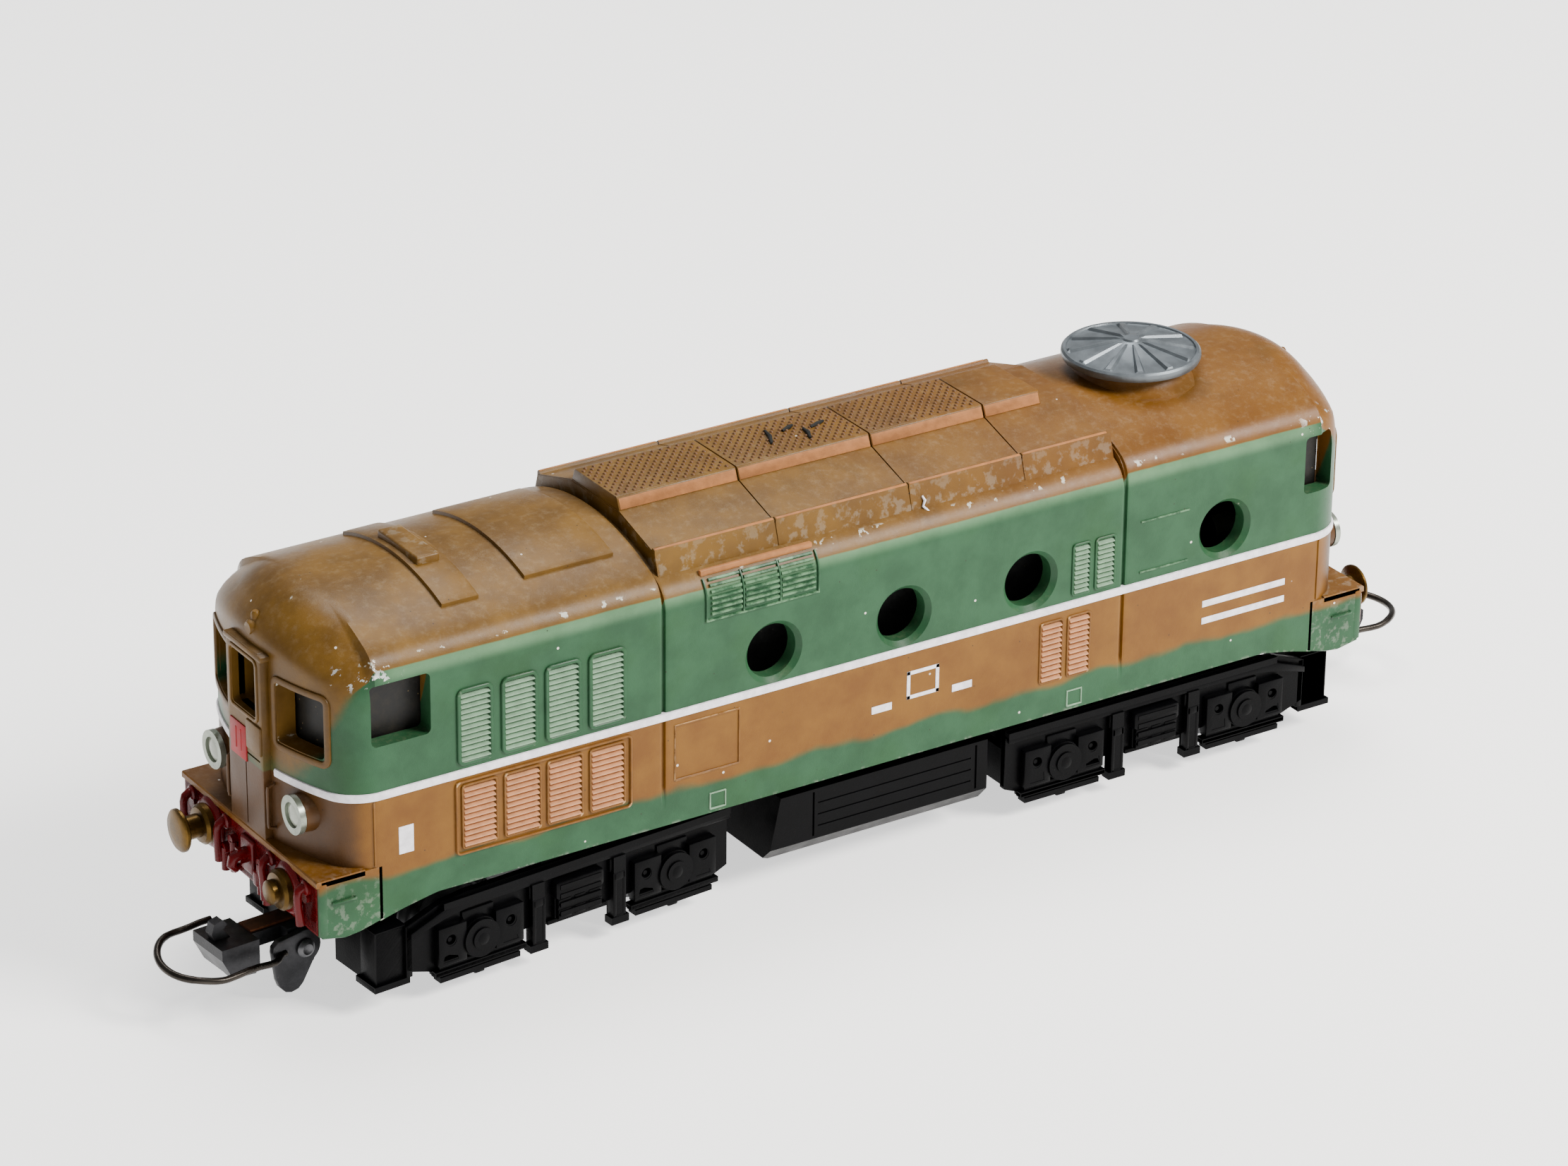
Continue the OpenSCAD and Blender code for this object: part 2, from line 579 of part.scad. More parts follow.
module front_bogie_frame() color([0.11, 0.11, 0.12]) in_front_bogie() {
  difference() {
    union() {
      bogie_frame_common();
      // tabs that hold the motor
      for (s = [-1, 1]) {
        span([s > 0 ? 10.9 : -21.6, -5, 12], [s > 0 ? 21.6 : -10.9, 1.8, 13.2]);
        span([s > 0 ? 17.3 : -21.6, -5, 9.4], [s > 0 ? 21.6 : -17.3, 1.8, 13.2]);
      }
      // bolster ring and turret
      translate([0, 0, 14.4]) cylinder(r = disc_r, h = 1.3, $fn = 96);
      difference() {
        translate([0, 0, 15.6]) cylinder(r = turret_r, h = 2.6, $fn = 96);
        translate([0, 0, 15.5]) cylinder(r = 12, h = 3, $fn = 96);
      }
    }
    span([-10.45, -9.9, 14], [10.45, 5.2, 16]);
    span([-11.75, 2.1, 14], [11.75, 5, 16]);
    for (s = [-1, 1]) translate([s * 12.3, -1.8, 11]) cylinder(r = 0.75, h = 3);
  }
}
module turret_retainer() color([0.7, 0.7, 0.7]) in_front_bogie() translate([0, 0, 18.2]) difference() {
  cylinder(r = 13.7, h = 0.6, $fn = 96);
  translate([0, 0, -1]) cylinder(r = 12, h = 3, $fn = 96);
}

module rear_bogie_frame() color([0.11, 0.11, 0.12]) in_rear_bogie() difference() {
  union() {
    bogie_frame_common();
    span([-17.4, -5.5, 4.2], [17.4, 5.5, 12]);
    span([-3.6, -5.5, 11.9], [3.6, 5.5, 14.6]);
    translate([0, 0, 14.4]) cylinder(r = disc_r, h = 1.3, $fn = 96);
    translate([0, 0, 15]) cylinder(r = rear_boss_r, h = 3.2);
  }
  for (s = [-1, 1]) rod_y(s * ax_x, axle_z, -6, 6, axle_r + run);
  translate([0, 0, 10]) cylinder(r = 1.4, h = 10);
}
module rear_kingpin() color([0.72, 0.7, 0.62]) in_rear_bogie() difference() {
  union() {
    translate([0, 0, 10.2]) cylinder(r = 1.4, h = 8.2);
    translate([0, 0, 18.2]) cylinder(r = 4.4, h = 0.6);
    translate([0, 0, 18.7]) cylinder(r = 2.4, h = 1);
  }
  span([-3, -0.2, 19.3], [3, 0.2, 20]);
}

// ------------------------------------------------------------- motor bogie

module motor_housing() color([0.5, 0.5, 0.52]) in_front_bogie() difference() {
  union() {
    span([-17.2, -5.5, 4.2], [17.2, 2, 12]);
    span([-10.3, -5.5, 11.9], [10.3, 2, 25.2]);
  }
  // rotor cavity, open towards the brush plate
  rod_y(0, mot_z, -6, 0.6, rotor_r + 0.35);
  rod_y(0, mot_z, 0, 3, 0.8 + run);
  for (s = [-1, 1]) {
    rod_y(s * ax_x, axle_z, -6, 3, axle_r + run);
    rod_y(s * idl_x, idl_z, 0.5, 3, 0.7);
    translate([s * 12.3, -1.8, 8]) cylinder(r = 0.7, h = 5);
    rod_y(s * 8.8, 24, -6, -3, 0.6);
  }
}
module motor_magnet() color([0.12, 0.12, 0.13]) in_front_bogie() span([-9.6, -5.2, 25.2], [9.6, 1.7, 30.2]);
module magnet_clip() color([0.7, 0.7, 0.7]) in_front_bogie() {
  span([-3, -5.7, 30.2], [3, 2.2, 30.7]);
  span([-3, -5.7, 25.6], [3, -5.2, 30.3]);
  span([-3, 1.7, 25.6], [3, 2.2, 30.3]);
}
module brush_plate() color([0.36, 0.2, 0.1]) in_front_bogie() difference() {
  union() {
    translate([0, -5.5, 0]) rotate([90, 0, 0]) linear_extrude(1.5) intersection() {
      translate([0, mot_z]) circle(r = 9.6);
      translate([-9.6, 10]) square([19.2, 15.2]);
    }
    for (s = [-1, 1]) rod_y(s * 2.7, mot_z, -9.3, -6.9, 1.35);
  }
  rod_y(0, mot_z, -8, -5, 0.8 + run);
  for (s = [-1, 1]) rod_y(s * 2.7, mot_z, -10, -5, 0.9);
}
module brushes() color([0.08, 0.08, 0.08]) in_front_bogie()
  for (s = [-1, 1]) rod_y(s * 2.7, mot_z, -7.4, -5.24, 0.9);
module brush_springs() color([0.75, 0.6, 0.3]) in_front_bogie()
  for (s = [-1, 1], i = [0 : 3]) translate([s * 2.7, -7.62 - i * 0.46, mot_z]) rotate([90, 0, 0])
    rotate_extrude() translate([0.62, 0]) circle(r = 0.16, $fn = 16);
module motor_screws() color([0.65, 0.65, 0.65]) in_front_bogie() {
  for (s = [-1, 1]) translate([s * 12.3, -1.8, 0]) difference() {
    union() {
      translate([0, 0, 8.6]) cylinder(r = 0.7, h = 4.7);
      translate([0, 0, 13.2]) cylinder(r = 1.2, h = 0.8);
    }
    translate([-2, -0.15, 13.6]) cube([4, 0.3, 1]);
  }
  // screws of the brush plate
  for (s = [-1, 1]) difference() {
    union() {
      rod_y(s * 8.8, 24, -5.5, -3.2, 0.6);
      rod_y(s * 8.8, 24, -6.2, -5.5, 1.1);
    }
    span([s * 8.8 - 2, -7, 23.9], [s * 8.8 + 2, -5.9, 24.1]);
  }
}
module idler_pins() color([0.75, 0.75, 0.76]) in_front_bogie()
  for (s = [-1, 1]) {
    rod_y(s * idl_x, idl_z, 0.6, 4.8, 0.7);
    rod_y(s * idl_x, idl_z, 4.65, 5, 1.1);
  }

// spur gear with straight-sided teeth, flat on Z = 0
function tooth_pts(z, m) = [for (i = [0 : z - 1]) for (k = [0 : 3])
  let (a = 360 * (i + [-0.29, -0.12, 0.12, 0.29][k]) / z,
       r = [m * (z - 2.5) / 2, m * (z + 1.8) / 2, m * (z + 1.8) / 2, m * (z - 2.5) / 2][k])
  [r * cos(a), r * sin(a)]];
module gear(z, w, bore, phase = 0) difference() {
  rotate([0, 0, phase]) linear_extrude(w) polygon(tooth_pts(z, gear_m));
  translate([0, 0, -1]) cylinder(r = bore, h = w + 2);
}
// a gear in the bogie's gear plane
module gear_at(x, z, teeth, bore, phase)
  translate([x, gear_y0 + gear_w, z]) rotate([90, 0, 0]) gear(teeth, gear_w, bore, phase);
// phase that puts gear B's gap on gear A's tooth along the direction t
function mate(t, pa, za, zb) = t + 180 - (0.5 - (t - pa) * za / 360) * 360 / zb;
t_1 = atan2(idl_z - mot_z, -idl_x);
t_2 = atan2(idl_z - mot_z, idl_x);
u_1 = atan2(axle_z - idl_z, -ax_x + idl_x);
u_2 = atan2(axle_z - idl_z, ax_x - idl_x);
ph_i1 = mate(t_1, 0, pinion_teeth, idler_teeth);
ph_i2 = mate(t_2, 0, pinion_teeth, idler_teeth);
ph_a1 = mate(u_1, ph_i1, idler_teeth, axle_teeth);
ph_a2 = mate(u_2, ph_i2, idler_teeth, axle_teeth);

module rotor_core() color([0.55, 0.35, 0.2]) in_front_bogie()
  translate([0, 0.3, mot_z]) rotate([90, 0, 0]) linear_extrude(4.5) difference() {
    union() {
      circle(r = 2.4);
      for (i = [0 : 2]) rotate(120 * i) {
        translate([-1.2, 0]) square([2.4, 5.6]);
        // winding on each pole
        translate([-2.2, 2.3]) square([4.4, 2.3]);
        // pole shoe
        intersection() {
          circle(r = rotor_r);
          translate([-4.9, 4.9]) square([9.8, 3]);
        }
      }
    }
    circle(r = 0.8);
  }
module commutator() color([0.72, 0.42, 0.22]) in_front_bogie()
  translate([0, -4.2, mot_z]) rotate([90, 0, 0]) linear_extrude(1) difference() {
    circle(r = 4);
    circle(r = 0.8);
    for (i = [0 : 2]) rotate(120 * i + 60) translate([-0.15, 1.5]) square([0.3, 3]);
  }
module rotor_shaft() color([0.75, 0.75, 0.76]) in_front_bogie() rod_y(0, mot_z, -8, 5, 0.8);
module pinion() color([0.78, 0.62, 0.28]) in_front_bogie() gear_at(0, mot_z, pinion_teeth, 0.8, 0);
module idler_gear(s, ph) {
  gear_at(s * idl_x, idl_z, idler_teeth, 0.7 + run, ph);
}
module idler_gear_1() color([0.85, 0.83, 0.76]) in_front_bogie() idler_gear(-1, ph_i1);
module idler_gear_2() color([0.85, 0.83, 0.76]) in_front_bogie() idler_gear(1, ph_i2);

// ------------------------------------------------------------- wheel sets

module wheel_pair(x) translate([x, 0, axle_z]) both_sides() rotate([-90, 0, 0]) rotate_extrude($fn = 96)
  polygon([[axle_r, 7.5], [4.2, 7.5], [4.5, 7.2], [flange_r - 0.2, 7.2], [flange_r, 7.4], [flange_r - 0.05, 7.7],
           [tread_r + 0.2, 8.1], [tread_r, 8.3], [tread_r - 0.05, 10], [tread_r - 1.1, 10], [tread_r - 1.5, 9.2],
           [2.2, 9.2], [2, 10], [axle_r, 10]]);
module axle_bar(x) rod_y(x, axle_z, -10.2, 10.2, axle_r);
module axle_1() color([0.7, 0.7, 0.7]) in_front_bogie() axle_bar(-ax_x);
module axle_2() color([0.7, 0.7, 0.7]) in_front_bogie() axle_bar(ax_x);
module axle_3() color([0.7, 0.7, 0.7]) in_rear_bogie() axle_bar(ax_x);
module axle_4() color([0.7, 0.7, 0.7]) in_rear_bogie() axle_bar(-ax_x);
module wheels_1() color([0.3, 0.3, 0.31]) in_front_bogie() wheel_pair(-ax_x);
module wheels_2() color([0.3, 0.3, 0.31]) in_front_bogie() wheel_pair(ax_x);
module wheels_3() color([0.3, 0.3, 0.31]) in_rear_bogie() wheel_pair(ax_x);
module wheels_4() color([0.3, 0.3, 0.31]) in_rear_bogie() wheel_pair(-ax_x);
module axle_gear(s, ph) {
  gear_at(s * ax_x, axle_z, axle_teeth, axle_r, ph);
  difference() {
    rod_y(s * ax_x, axle_z, gear_y0 + gear_w, 7, 2);
    rod_y(s * ax_x, axle_z, gear_y0, 8, axle_r);
  }
}
module axle_gear_1() color([0.85, 0.83, 0.76]) in_front_bogie() axle_gear(-1, ph_a1);
module axle_gear_2() color([0.85, 0.83, 0.76]) in_front_bogie() axle_gear(1, ph_a2);

// current wipers: thin bronze strips held over the wheels' backs
module wipers() {
  for (s = [-1, 1]) {
    span([-13, s > 0 ? 5.9 : -6.2, 12.1], [13, s > 0 ? 6.2 : -5.9, 13.6]);
  }
}
module rear_wipers() color([0.72, 0.45, 0.24]) in_rear_bogie() difference() {
  union() {
    for (s = [-1, 1]) span([-13, s > 0 ? 5.5 : -5.8, 8.6], [13, s > 0 ? 5.8 : -5.5, 10]);
    for (s = [-1, 1], t = [-1, 1]) span([t * 12 - 1, s > 0 ? 5.7 : -6.9, 8.9], [t * 12 + 1, s > 0 ? 6.9 : -5.7, 9.2]);
  }
}
module front_wipers() color([0.72, 0.45, 0.24]) in_front_bogie() {
  span([-13, -5.8, 4.6], [13, -5.5, 5.9]);
  for (t = [-1, 1]) span([t * 12 - 1, -6.9, 5.1], [t * 12 + 1, -5.7, 5.4]);
}

// ------------------------------------------------------------- couplers

module coupler_pin() {
  translate([coup_x, 0, 5.7]) cylinder(r = 1, h = 5.6);
  translate([coup_x, 0, 5.2]) cylinder(r = 1.7, h = 0.7);
}
module coupler_head() difference() {
  union() {
    // eye and shank
    translate([coup_x, 0, 6.9]) cylinder(r = 2.2, h = 1.9);
    span([-39, -1.7, 6.9], [coup_x - 1, 1.7, 8.8]);
    // cheek that carries the rivet
    span([-34, -3.2, 5.4], [-30.8, -1.6, 8.8]);
    // head block, cut back at the front
    rotate([90, 0, 0]) translate([0, 0, -3.3]) linear_extrude(6.6)
      polygon([[-38, 8.8], [-43.2, 8.8], [-43.2, 7.4], [-41.8, 4.6], [-38.6, 4.4], [-38, 5.6]]);
    // upright hook
    rotate([90, 0, 0]) translate([0, 0, -0.7]) linear_extrude(1.4)
      polygon([[-40.4, 8.7], [-42.6, 8.7], [-43, 9.8], [-42.6, 11], [-41.4, 11.3], [-40.8, 10.6], [-41.4, 10]]);
    // keel under the head
    rotate([90, 0, 0]) translate([0, 0, -0.8]) linear_extrude(1.6)
      polygon([[-38.8, 4.6], [-41.6, 4.8], [-40.4, 3], [-39, 2.8]]);
  }
  translate([coup_x, 0, 5]) cylinder(r = 1 + run, h = 6);
  rod_y(lever_x, lever_z, -8, 0, 0.6);
}
module coupler_spring() {
  span([-38, -1.3, 8.8], [-28.9, 1.3, 9.1]);
}
module lever_rivet() {
  rod_y(lever_x, lever_z, -4.9, -1.9, 0.6);
  rod_y(lever_x, lever_z, -5.2, -4.75, 1.1);
}
// drop arm: a flat plate on the rivet that hangs down to the track
module drop_arm() difference() {
  union() {
    rotate([90, 0, 0]) translate([0, 0, 3.5]) linear_extrude(0.9) union() {
      translate([lever_x, lever_z]) circle(r = 2.3);
      polygon([[-32.6, 8.7], [-36.4, 8.3], [-36.9, 7], [-36.2, 2.4], [-34.6, 0.8], [-32.9, 1.4], [-31, 4.6]]);
    }
  }
  rod_y(lever_x, lever_z, -5, -3, 0.6 + run);
}
// outline of the loop seen from above, w wide on each side of its middle line
module loop_outline(w) {
  translate([-43.8, 0]) circle(r = loop_r + w);
  translate([-43.8, -loop_r - w]) square([6, 2 * (loop_r + w)]);
}
// the near leg bends in to the drop arm, the far leg ends beside the head
module loop_wire(tw) translate([0, 0, 7.2]) rotate([tw, 0, 0])
  translate([0, 0, -wire_r]) linear_extrude(2 * wire_r) {
    difference() {
      loop_outline(wire_r);
      loop_outline(-wire_r);
      translate([-37.9, -loop_r + wire_r - 0.02]) square([4, 20]);
      translate([-39.3, 0]) square([4, 20]);
    }
    translate([-38.2, -loop_r - wire_r]) square([1.8, 2 * wire_r]);
    polygon([[-37.2, -loop_r - wire_r], [-36.4, -loop_r - wire_r], [-35.6, -4.42], [-35.6, -3.58 - 0.85],
             [-36.4, -4.46]]);
    translate([-36.9, -5.92 + 0.84]) square([1.6, 0.66]);
  }

module front_coupler_pin() color([0.6, 0.6, 0.6]) in_front_bogie() coupler_pin();
module rear_coupler_pin() color([0.6, 0.6, 0.6]) in_rear_bogie() coupler_pin();
module front_coupler_head() color([0.22, 0.22, 0.23]) in_front_bogie() coupler_head();
module rear_coupler_head() color([0.22, 0.22, 0.23]) in_rear_bogie() coupler_head();
module front_coupler_spring() color([0.5, 0.28, 0.14]) in_front_bogie() coupler_spring();
module rear_coupler_spring() color([0.5, 0.28, 0.14]) in_rear_bogie() coupler_spring();
module front_lever_rivet() color([0.5, 0.5, 0.5]) in_front_bogie() lever_rivet();
module rear_lever_rivet() color([0.5, 0.5, 0.5]) in_rear_bogie() lever_rivet();
module front_drop_arm() color([0.3, 0.3, 0.31]) in_front_bogie() drop_arm();
module rear_drop_arm() color([0.3, 0.3, 0.31]) in_rear_bogie() drop_arm();
module front_loop_wire() color([0.5, 0.5, 0.51]) in_front_bogie() loop_wire(loop_twist);
module rear_loop_wire() color([0.5, 0.5, 0.51]) in_rear_bogie() loop_wire(0);

body_shell();
chassis();
fuel_tank();
roof_fan_cap();
buffer_beams();
buffers();
headlamp_bezels();
headlamp_lenses();
headlamp_bulbs();
bulb_holders();
cab_inserts();
ballast_weight();
ballast_screws();
body_screws();
feed_wires();
front_bogie_frame();
turret_retainer();
motor_housing();
motor_magnet();
magnet_clip();
brush_plate();
brushes();
brush_springs();
motor_screws();
idler_pins();
front_wipers();
front_coupler_pin();
rotor_core();
commutator();
rotor_shaft();
pinion();
idler_gear_1();
idler_gear_2();
axle_1();
wheels_1();
axle_gear_1();
axle_2();
wheels_2();
axle_gear_2();
rear_bogie_frame();
rear_kingpin();
rear_wipers();
rear_coupler_pin();
axle_3();
wheels_3();
axle_4();
wheels_4();
front_coupler_head();
front_coupler_spring();
front_lever_rivet();
front_drop_arm();
front_loop_wire();
rear_coupler_head();
rear_coupler_spring();
rear_lever_rivet();
rear_drop_arm();
rear_loop_wire();
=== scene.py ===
import bpy, bmesh, math
import numpy as np
from mathutils import Vector, Matrix


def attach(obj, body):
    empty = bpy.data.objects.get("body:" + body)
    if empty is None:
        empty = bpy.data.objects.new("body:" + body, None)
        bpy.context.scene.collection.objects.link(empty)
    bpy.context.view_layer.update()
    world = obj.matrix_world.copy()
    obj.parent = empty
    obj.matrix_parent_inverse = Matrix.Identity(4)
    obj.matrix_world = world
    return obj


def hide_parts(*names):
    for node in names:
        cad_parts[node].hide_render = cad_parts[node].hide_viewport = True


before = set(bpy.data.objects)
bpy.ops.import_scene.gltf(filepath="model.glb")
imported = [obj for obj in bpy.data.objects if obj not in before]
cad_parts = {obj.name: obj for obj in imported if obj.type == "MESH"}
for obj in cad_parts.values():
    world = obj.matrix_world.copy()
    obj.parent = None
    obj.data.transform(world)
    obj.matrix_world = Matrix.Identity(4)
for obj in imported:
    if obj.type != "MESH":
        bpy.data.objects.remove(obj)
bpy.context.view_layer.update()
rng = np.random.RandomState(7)
SX = -1.97                      # the locomotive's own middle to the row's origin, in mm

# ------------------------------------------------------------------ helpers
def to_row(v):
    v = np.asarray(v, float).copy()
    v[..., 0] += SX
    return v / 1000.0

FX, FYAW, RX, RYAW = -41.8, 4.2, 45.6, 0.0
def bogie(v, front=True):
    """Bogie's own mm to the row frame in metres."""
    v = np.asarray(v, float)
    a = math.radians(FYAW if front else 180 + RYAW)
    c, s = math.cos(a), math.sin(a)
    o = np.empty_like(v)
    o[..., 0] = v[..., 0] * c - v[..., 1] * s + (FX if front else RX) + SX
    o[..., 1] = v[..., 0] * s + v[..., 1] * c
    o[..., 2] = v[..., 2]
    return o / 1000.0

class M:
    """Collects vertices and faces in mm."""
    def __init__(self):
        self.v, self.f, self.n = [], [], 0
    def add(self, v, f):
        v = np.asarray(v, float).reshape(-1, 3)
        self.v.append(v)
        self.f += [tuple(int(i) + self.n for i in q) for q in f]
        self.n += len(v)
        return self
    def both(self, v, f):
        """Adds it and its mirror image across the middle plane."""
        v = np.asarray(v, float).reshape(-1, 3)
        self.add(v, f)
        w = v.copy(); w[:, 1] *= -1
        self.add(w, [tuple(reversed(q)) for q in f])
    def mirx(self, v, f):
        v = np.asarray(v, float).reshape(-1, 3)
        self.add(v, f)
        w = v.copy(); w[:, 0] *= -1
        self.add(w, [tuple(reversed(q)) for q in f])
    def obj(self, name, mat, place=to_row, angle=35):
        v = place(np.concatenate(self.v))
        me = bpy.data.meshes.new(name)
        me.from_pydata(v.tolist(), [], self.f)
        me.validate()
        me.update()
        o = bpy.data.objects.new(name, me)
        bpy.context.scene.collection.objects.link(o)
        if mat is not None:
            me.materials.append(mat)
        smooth(o, angle)
        return o

def smooth(o, angle=35):
    me = o.data
    me.polygons.foreach_set("use_smooth", [True] * len(me.polygons))
    bm = bmesh.new(); bm.from_mesh(me)
    bmesh.ops.recalc_face_normals(bm, faces=bm.faces)
    lim = math.radians(angle)
    for e in bm.edges:
        e.smooth = not (len(e.link_faces) == 2 and e.calc_face_angle(0) > lim)
    bm.to_mesh(me); bm.free()
    me.update()

def _bm_out(bm):
    bm.verts.index_update()
    v = np.array([x.co[:] for x in bm.verts]); f = [tuple(y.index for y in x.verts) for x in bm.faces]
    bm.free()
    return v, f

def rbox(a, b, r=0.1, seg=2):
    """Box with rounded edges."""
    bm = bmesh.new()
    bmesh.ops.create_cube(bm, size=1)
    for v in bm.verts:
        for i in range(3):
            v.co[i] = a[i] if v.co[i] < 0 else b[i]
    if r > 0:
        r = min(r, 0.45 * min(b[i] - a[i] for i in range(3)))
        bmesh.ops.bevel(bm, geom=bm.edges[:], offset=r, segments=seg, profile=0.5, affect='EDGES', clamp_overlap=True)
    bmesh.ops.recalc_face_normals(bm, faces=bm.faces)
    return _bm_out(bm)

def prism(poly, axis, d0, d1, r=0.0, seg=2):
    """Polygon pushed out along an axis: 'x' takes (y, z), 'y' takes (x, z), 'z' takes (x, y)."""
    bm = bmesh.new()
    def at(p, d):
        return {'x': (d, p[0], p[1]), 'y': (p[0], d, p[1]), 'z': (p[0], p[1], d)}[axis]
    lo = [bm.verts.new(at(p, d0)) for p in poly]
    hi = [bm.verts.new(at(p, d1)) for p in poly]
    bm.faces.new(lo); bm.faces.new(hi)
    n = len(poly)
    for i in range(n):
        bm.faces.new((lo[i], lo[(i + 1) % n], hi[(i + 1) % n], hi[i]))
    if r > 0:
        bmesh.ops.bevel(bm, geom=bm.edges[:], offset=r, segments=seg, profile=0.5, affect='EDGES', clamp_overlap=True)
    bmesh.ops.recalc_face_normals(bm, faces=bm.faces)
    return _bm_out(bm)

def lathe(prof, c, axis='z', n=48, flip=False):
    """Turns (radius, height) points about an axis through c. A radius of 0 closes it."""
    prof = list(prof); V, F, rings = [], [], []
    for r, h in prof:
        if r < 1e-6:
            rings.append([len(V)]); V.append((0, 0, h))
        else:
            rings.append(list(range(len(V), len(V) + n)))
            for i in range(n):
                a = 2 * math.pi * i / n
                V.append((r * math.cos(a), r * math.sin(a), h))
    for A, B in zip(rings[:-1], rings[1:]):
        for i in range(n):
            j = (i + 1) % n
            if len(A) == 1 and len(B) == 1: continue
            if len(A) == 1: F.append((A[0], B[j], B[i]))
            elif len(B) == 1: F.append((A[i], A[j], B[0]))
            else: F.append((A[i], A[j], B[j], B[i]))
    V = np.array(V, float)
    if axis == 'x': V = V[:, [2, 0, 1]]
    if axis == 'y': V = V[:, [1, 2, 0]]
    if flip:
        k = {'x': 0, 'y': 1, 'z': 2}[axis]; V[:, k] *= -1; F = [tuple(reversed(q)) for q in F]
    return V + np.array(c, float), F

def tube(pts, r, n=10, closed=False, cap=True):
    """Round tube along points; r may be one number or one per point."""
    P = np.asarray(pts, float); k = len(P)
    R = np.full(k, r, float) if np.isscalar(r) else np.asarray(r, float)
    T = np.roll(P, -1, 0) - np.roll(P, 1, 0)
    if not closed:
        T[0] = P[1] - P[0]; T[-1] = P[-1] - P[-2]
    T /= np.linalg.norm(T, axis=1)[:, None]
    u = np.cross(T[0], [0, 0, 1.0])
    if np.linalg.norm(u) < 1e-3: u = np.cross(T[0], [0, 1.0, 0])
    u /= np.linalg.norm(u); U = [u]
    for i in range(1, k):
        w = U[-1] - T[i] * np.dot(U[-1], T[i]); U.append(w / np.linalg.norm(w))
    U = np.array(U); W = np.cross(T, U)
    V = []
    for i in range(k):
        for j in range(n):
            a = 2 * math.pi * j / n
            V.append(P[i] + R[i] * (math.cos(a) * U[i] + math.sin(a) * W[i]))
    F = []
    for i in range(k if closed else k - 1):
        i2 = (i + 1) % k
        for j in range(n):
            j2 = (j + 1) % n
            F.append((i * n + j, i * n + j2, i2 * n + j2, i2 * n + j))
    if not closed and cap:
        F.append(tuple(range(n))[::-1]); F.append(tuple((k - 1) * n + j for j in range(n)))
    return np.array(V), F

def ribbon(P, N, w, h, sink=0.3, closed=False, seg=5):
    """Raised half-round strip along P, standing h along the normals N and w wide."""
    P = np.asarray(P, float); N = np.asarray(N, float); k = len(P)
    T = np.roll(P, -1, 0) - np.roll(P, 1, 0)
    if not closed:
        T[0] = P[1] - P[0]; T[-1] = P[-1] - P[-2]
    T /= np.linalg.norm(T, axis=1)[:, None]
    S = np.cross(T, N); S /= np.linalg.norm(S, axis=1)[:, None]
    prof = [(-w / 2, -sink)]
    for i in range(seg + 1):
        a = math.pi * (1 - i / seg)
        prof.append((w / 2 * math.copysign(abs(math.cos(a)) ** 0.55, math.cos(a)), h * math.sin(a) ** 0.7 if 0 < i < seg else 0))
    prof.append((w / 2, -sink))
    m = len(prof); V = []
    for i in range(k):
        for a, b in prof: V.append(P[i] + S[i] * a + N[i] * b)
    F = []
    for i in range(k if closed else k - 1):
        i2 = (i + 1) % k
        for j in range(m):
            j2 = (j + 1) % m
            F.append((i * m + j2, i * m + j, i2 * m + j, i2 * m + j2))
    if not closed:
        F.append(tuple(range(m))); F.append(tuple((k - 1) * m + j for j in range(m))[::-1])
    return np.array(V), F

def rrect(x0, z0, x1, z1, r, n=6):
    """Rounded rectangle, anticlockwise."""
    out = []
    for cx, cz, a0 in ((x1 - r, z1 - r, 0), (x0 + r, z1 - r, 90), (x0 + r, z0 + r, 180), (x1 - r, z0 + r, 270)):
        for i in range(n + 1):
            a = math.radians(a0 + 90 * i / n)
            out.append((cx + r * math.cos(a), cz + r * math.sin(a)))
    return out

# ------------------------------------------------------------------ body form
RZ, HW, SHR, SHY = 51.5, 17.0, 4.0, 13.0
SHZ = 44.4
CZ = (RZ - SHR + SHZ) / 2 - SHY * SHY / (2 * (RZ - SHR - SHZ))
CR = RZ - CZ
TU = SHY / (CR - SHR); TC = math.sqrt(1 - TU * TU)
NX, NR = 76.5, 35.4
NC = NX - NR
G1, G2 = -29.7, 38.3
HL = 76.7
DROP = 0.9
FANX = 50.9
SLAB = [(0, 52.45), (5.5, 52.45), (13.0, 50.15), (13.75, 49.9), (15.0, 45.6)]

def sec_d(y, z, drop=0.0):
    ay = np.abs(y); z = z + drop
    side = ay - HW
    crown = np.hypot(ay, z - CZ) - CR
    shoulder = np.hypot(ay - SHY, z - SHZ) - SHR
    return np.where(z < SHZ, side, np.where(ay * TC < TU * (z - CZ), crown, shoulder))

def body_d(x, y, z, o=0.0):
    """Distance to the cab's outer form, made smaller by o."""
    a = sec_d(y, z) + o
    b = np.hypot(np.abs(x) - NC, y) - NR + o
    t = np.clip((z - 41.5) / 7.0, 0, 1); t = t * t * (3 - 2 * t)
    r = np.maximum(3 + 4.4 * t - o, 0.4)
    return np.minimum(-r, np.maximum(a, b)) + np.hypot(np.maximum(a + r, 0), np.maximum(b + r, 0))

def cast(o, d, fn, tmax=60):
    """Where rays from o along d leave the form."""
    lo = np.zeros(d.shape[:-1]); hi = np.full(d.shape[:-1], float(tmax))
    for _ in range(36):
        m = (lo + hi) / 2
        p = o + d * m[..., None]
        inside = fn(p) < 0
        lo = np.where(inside, m, lo); hi = np.where(inside, hi, m)
    return o + d * ((lo + hi) / 2)[..., None]

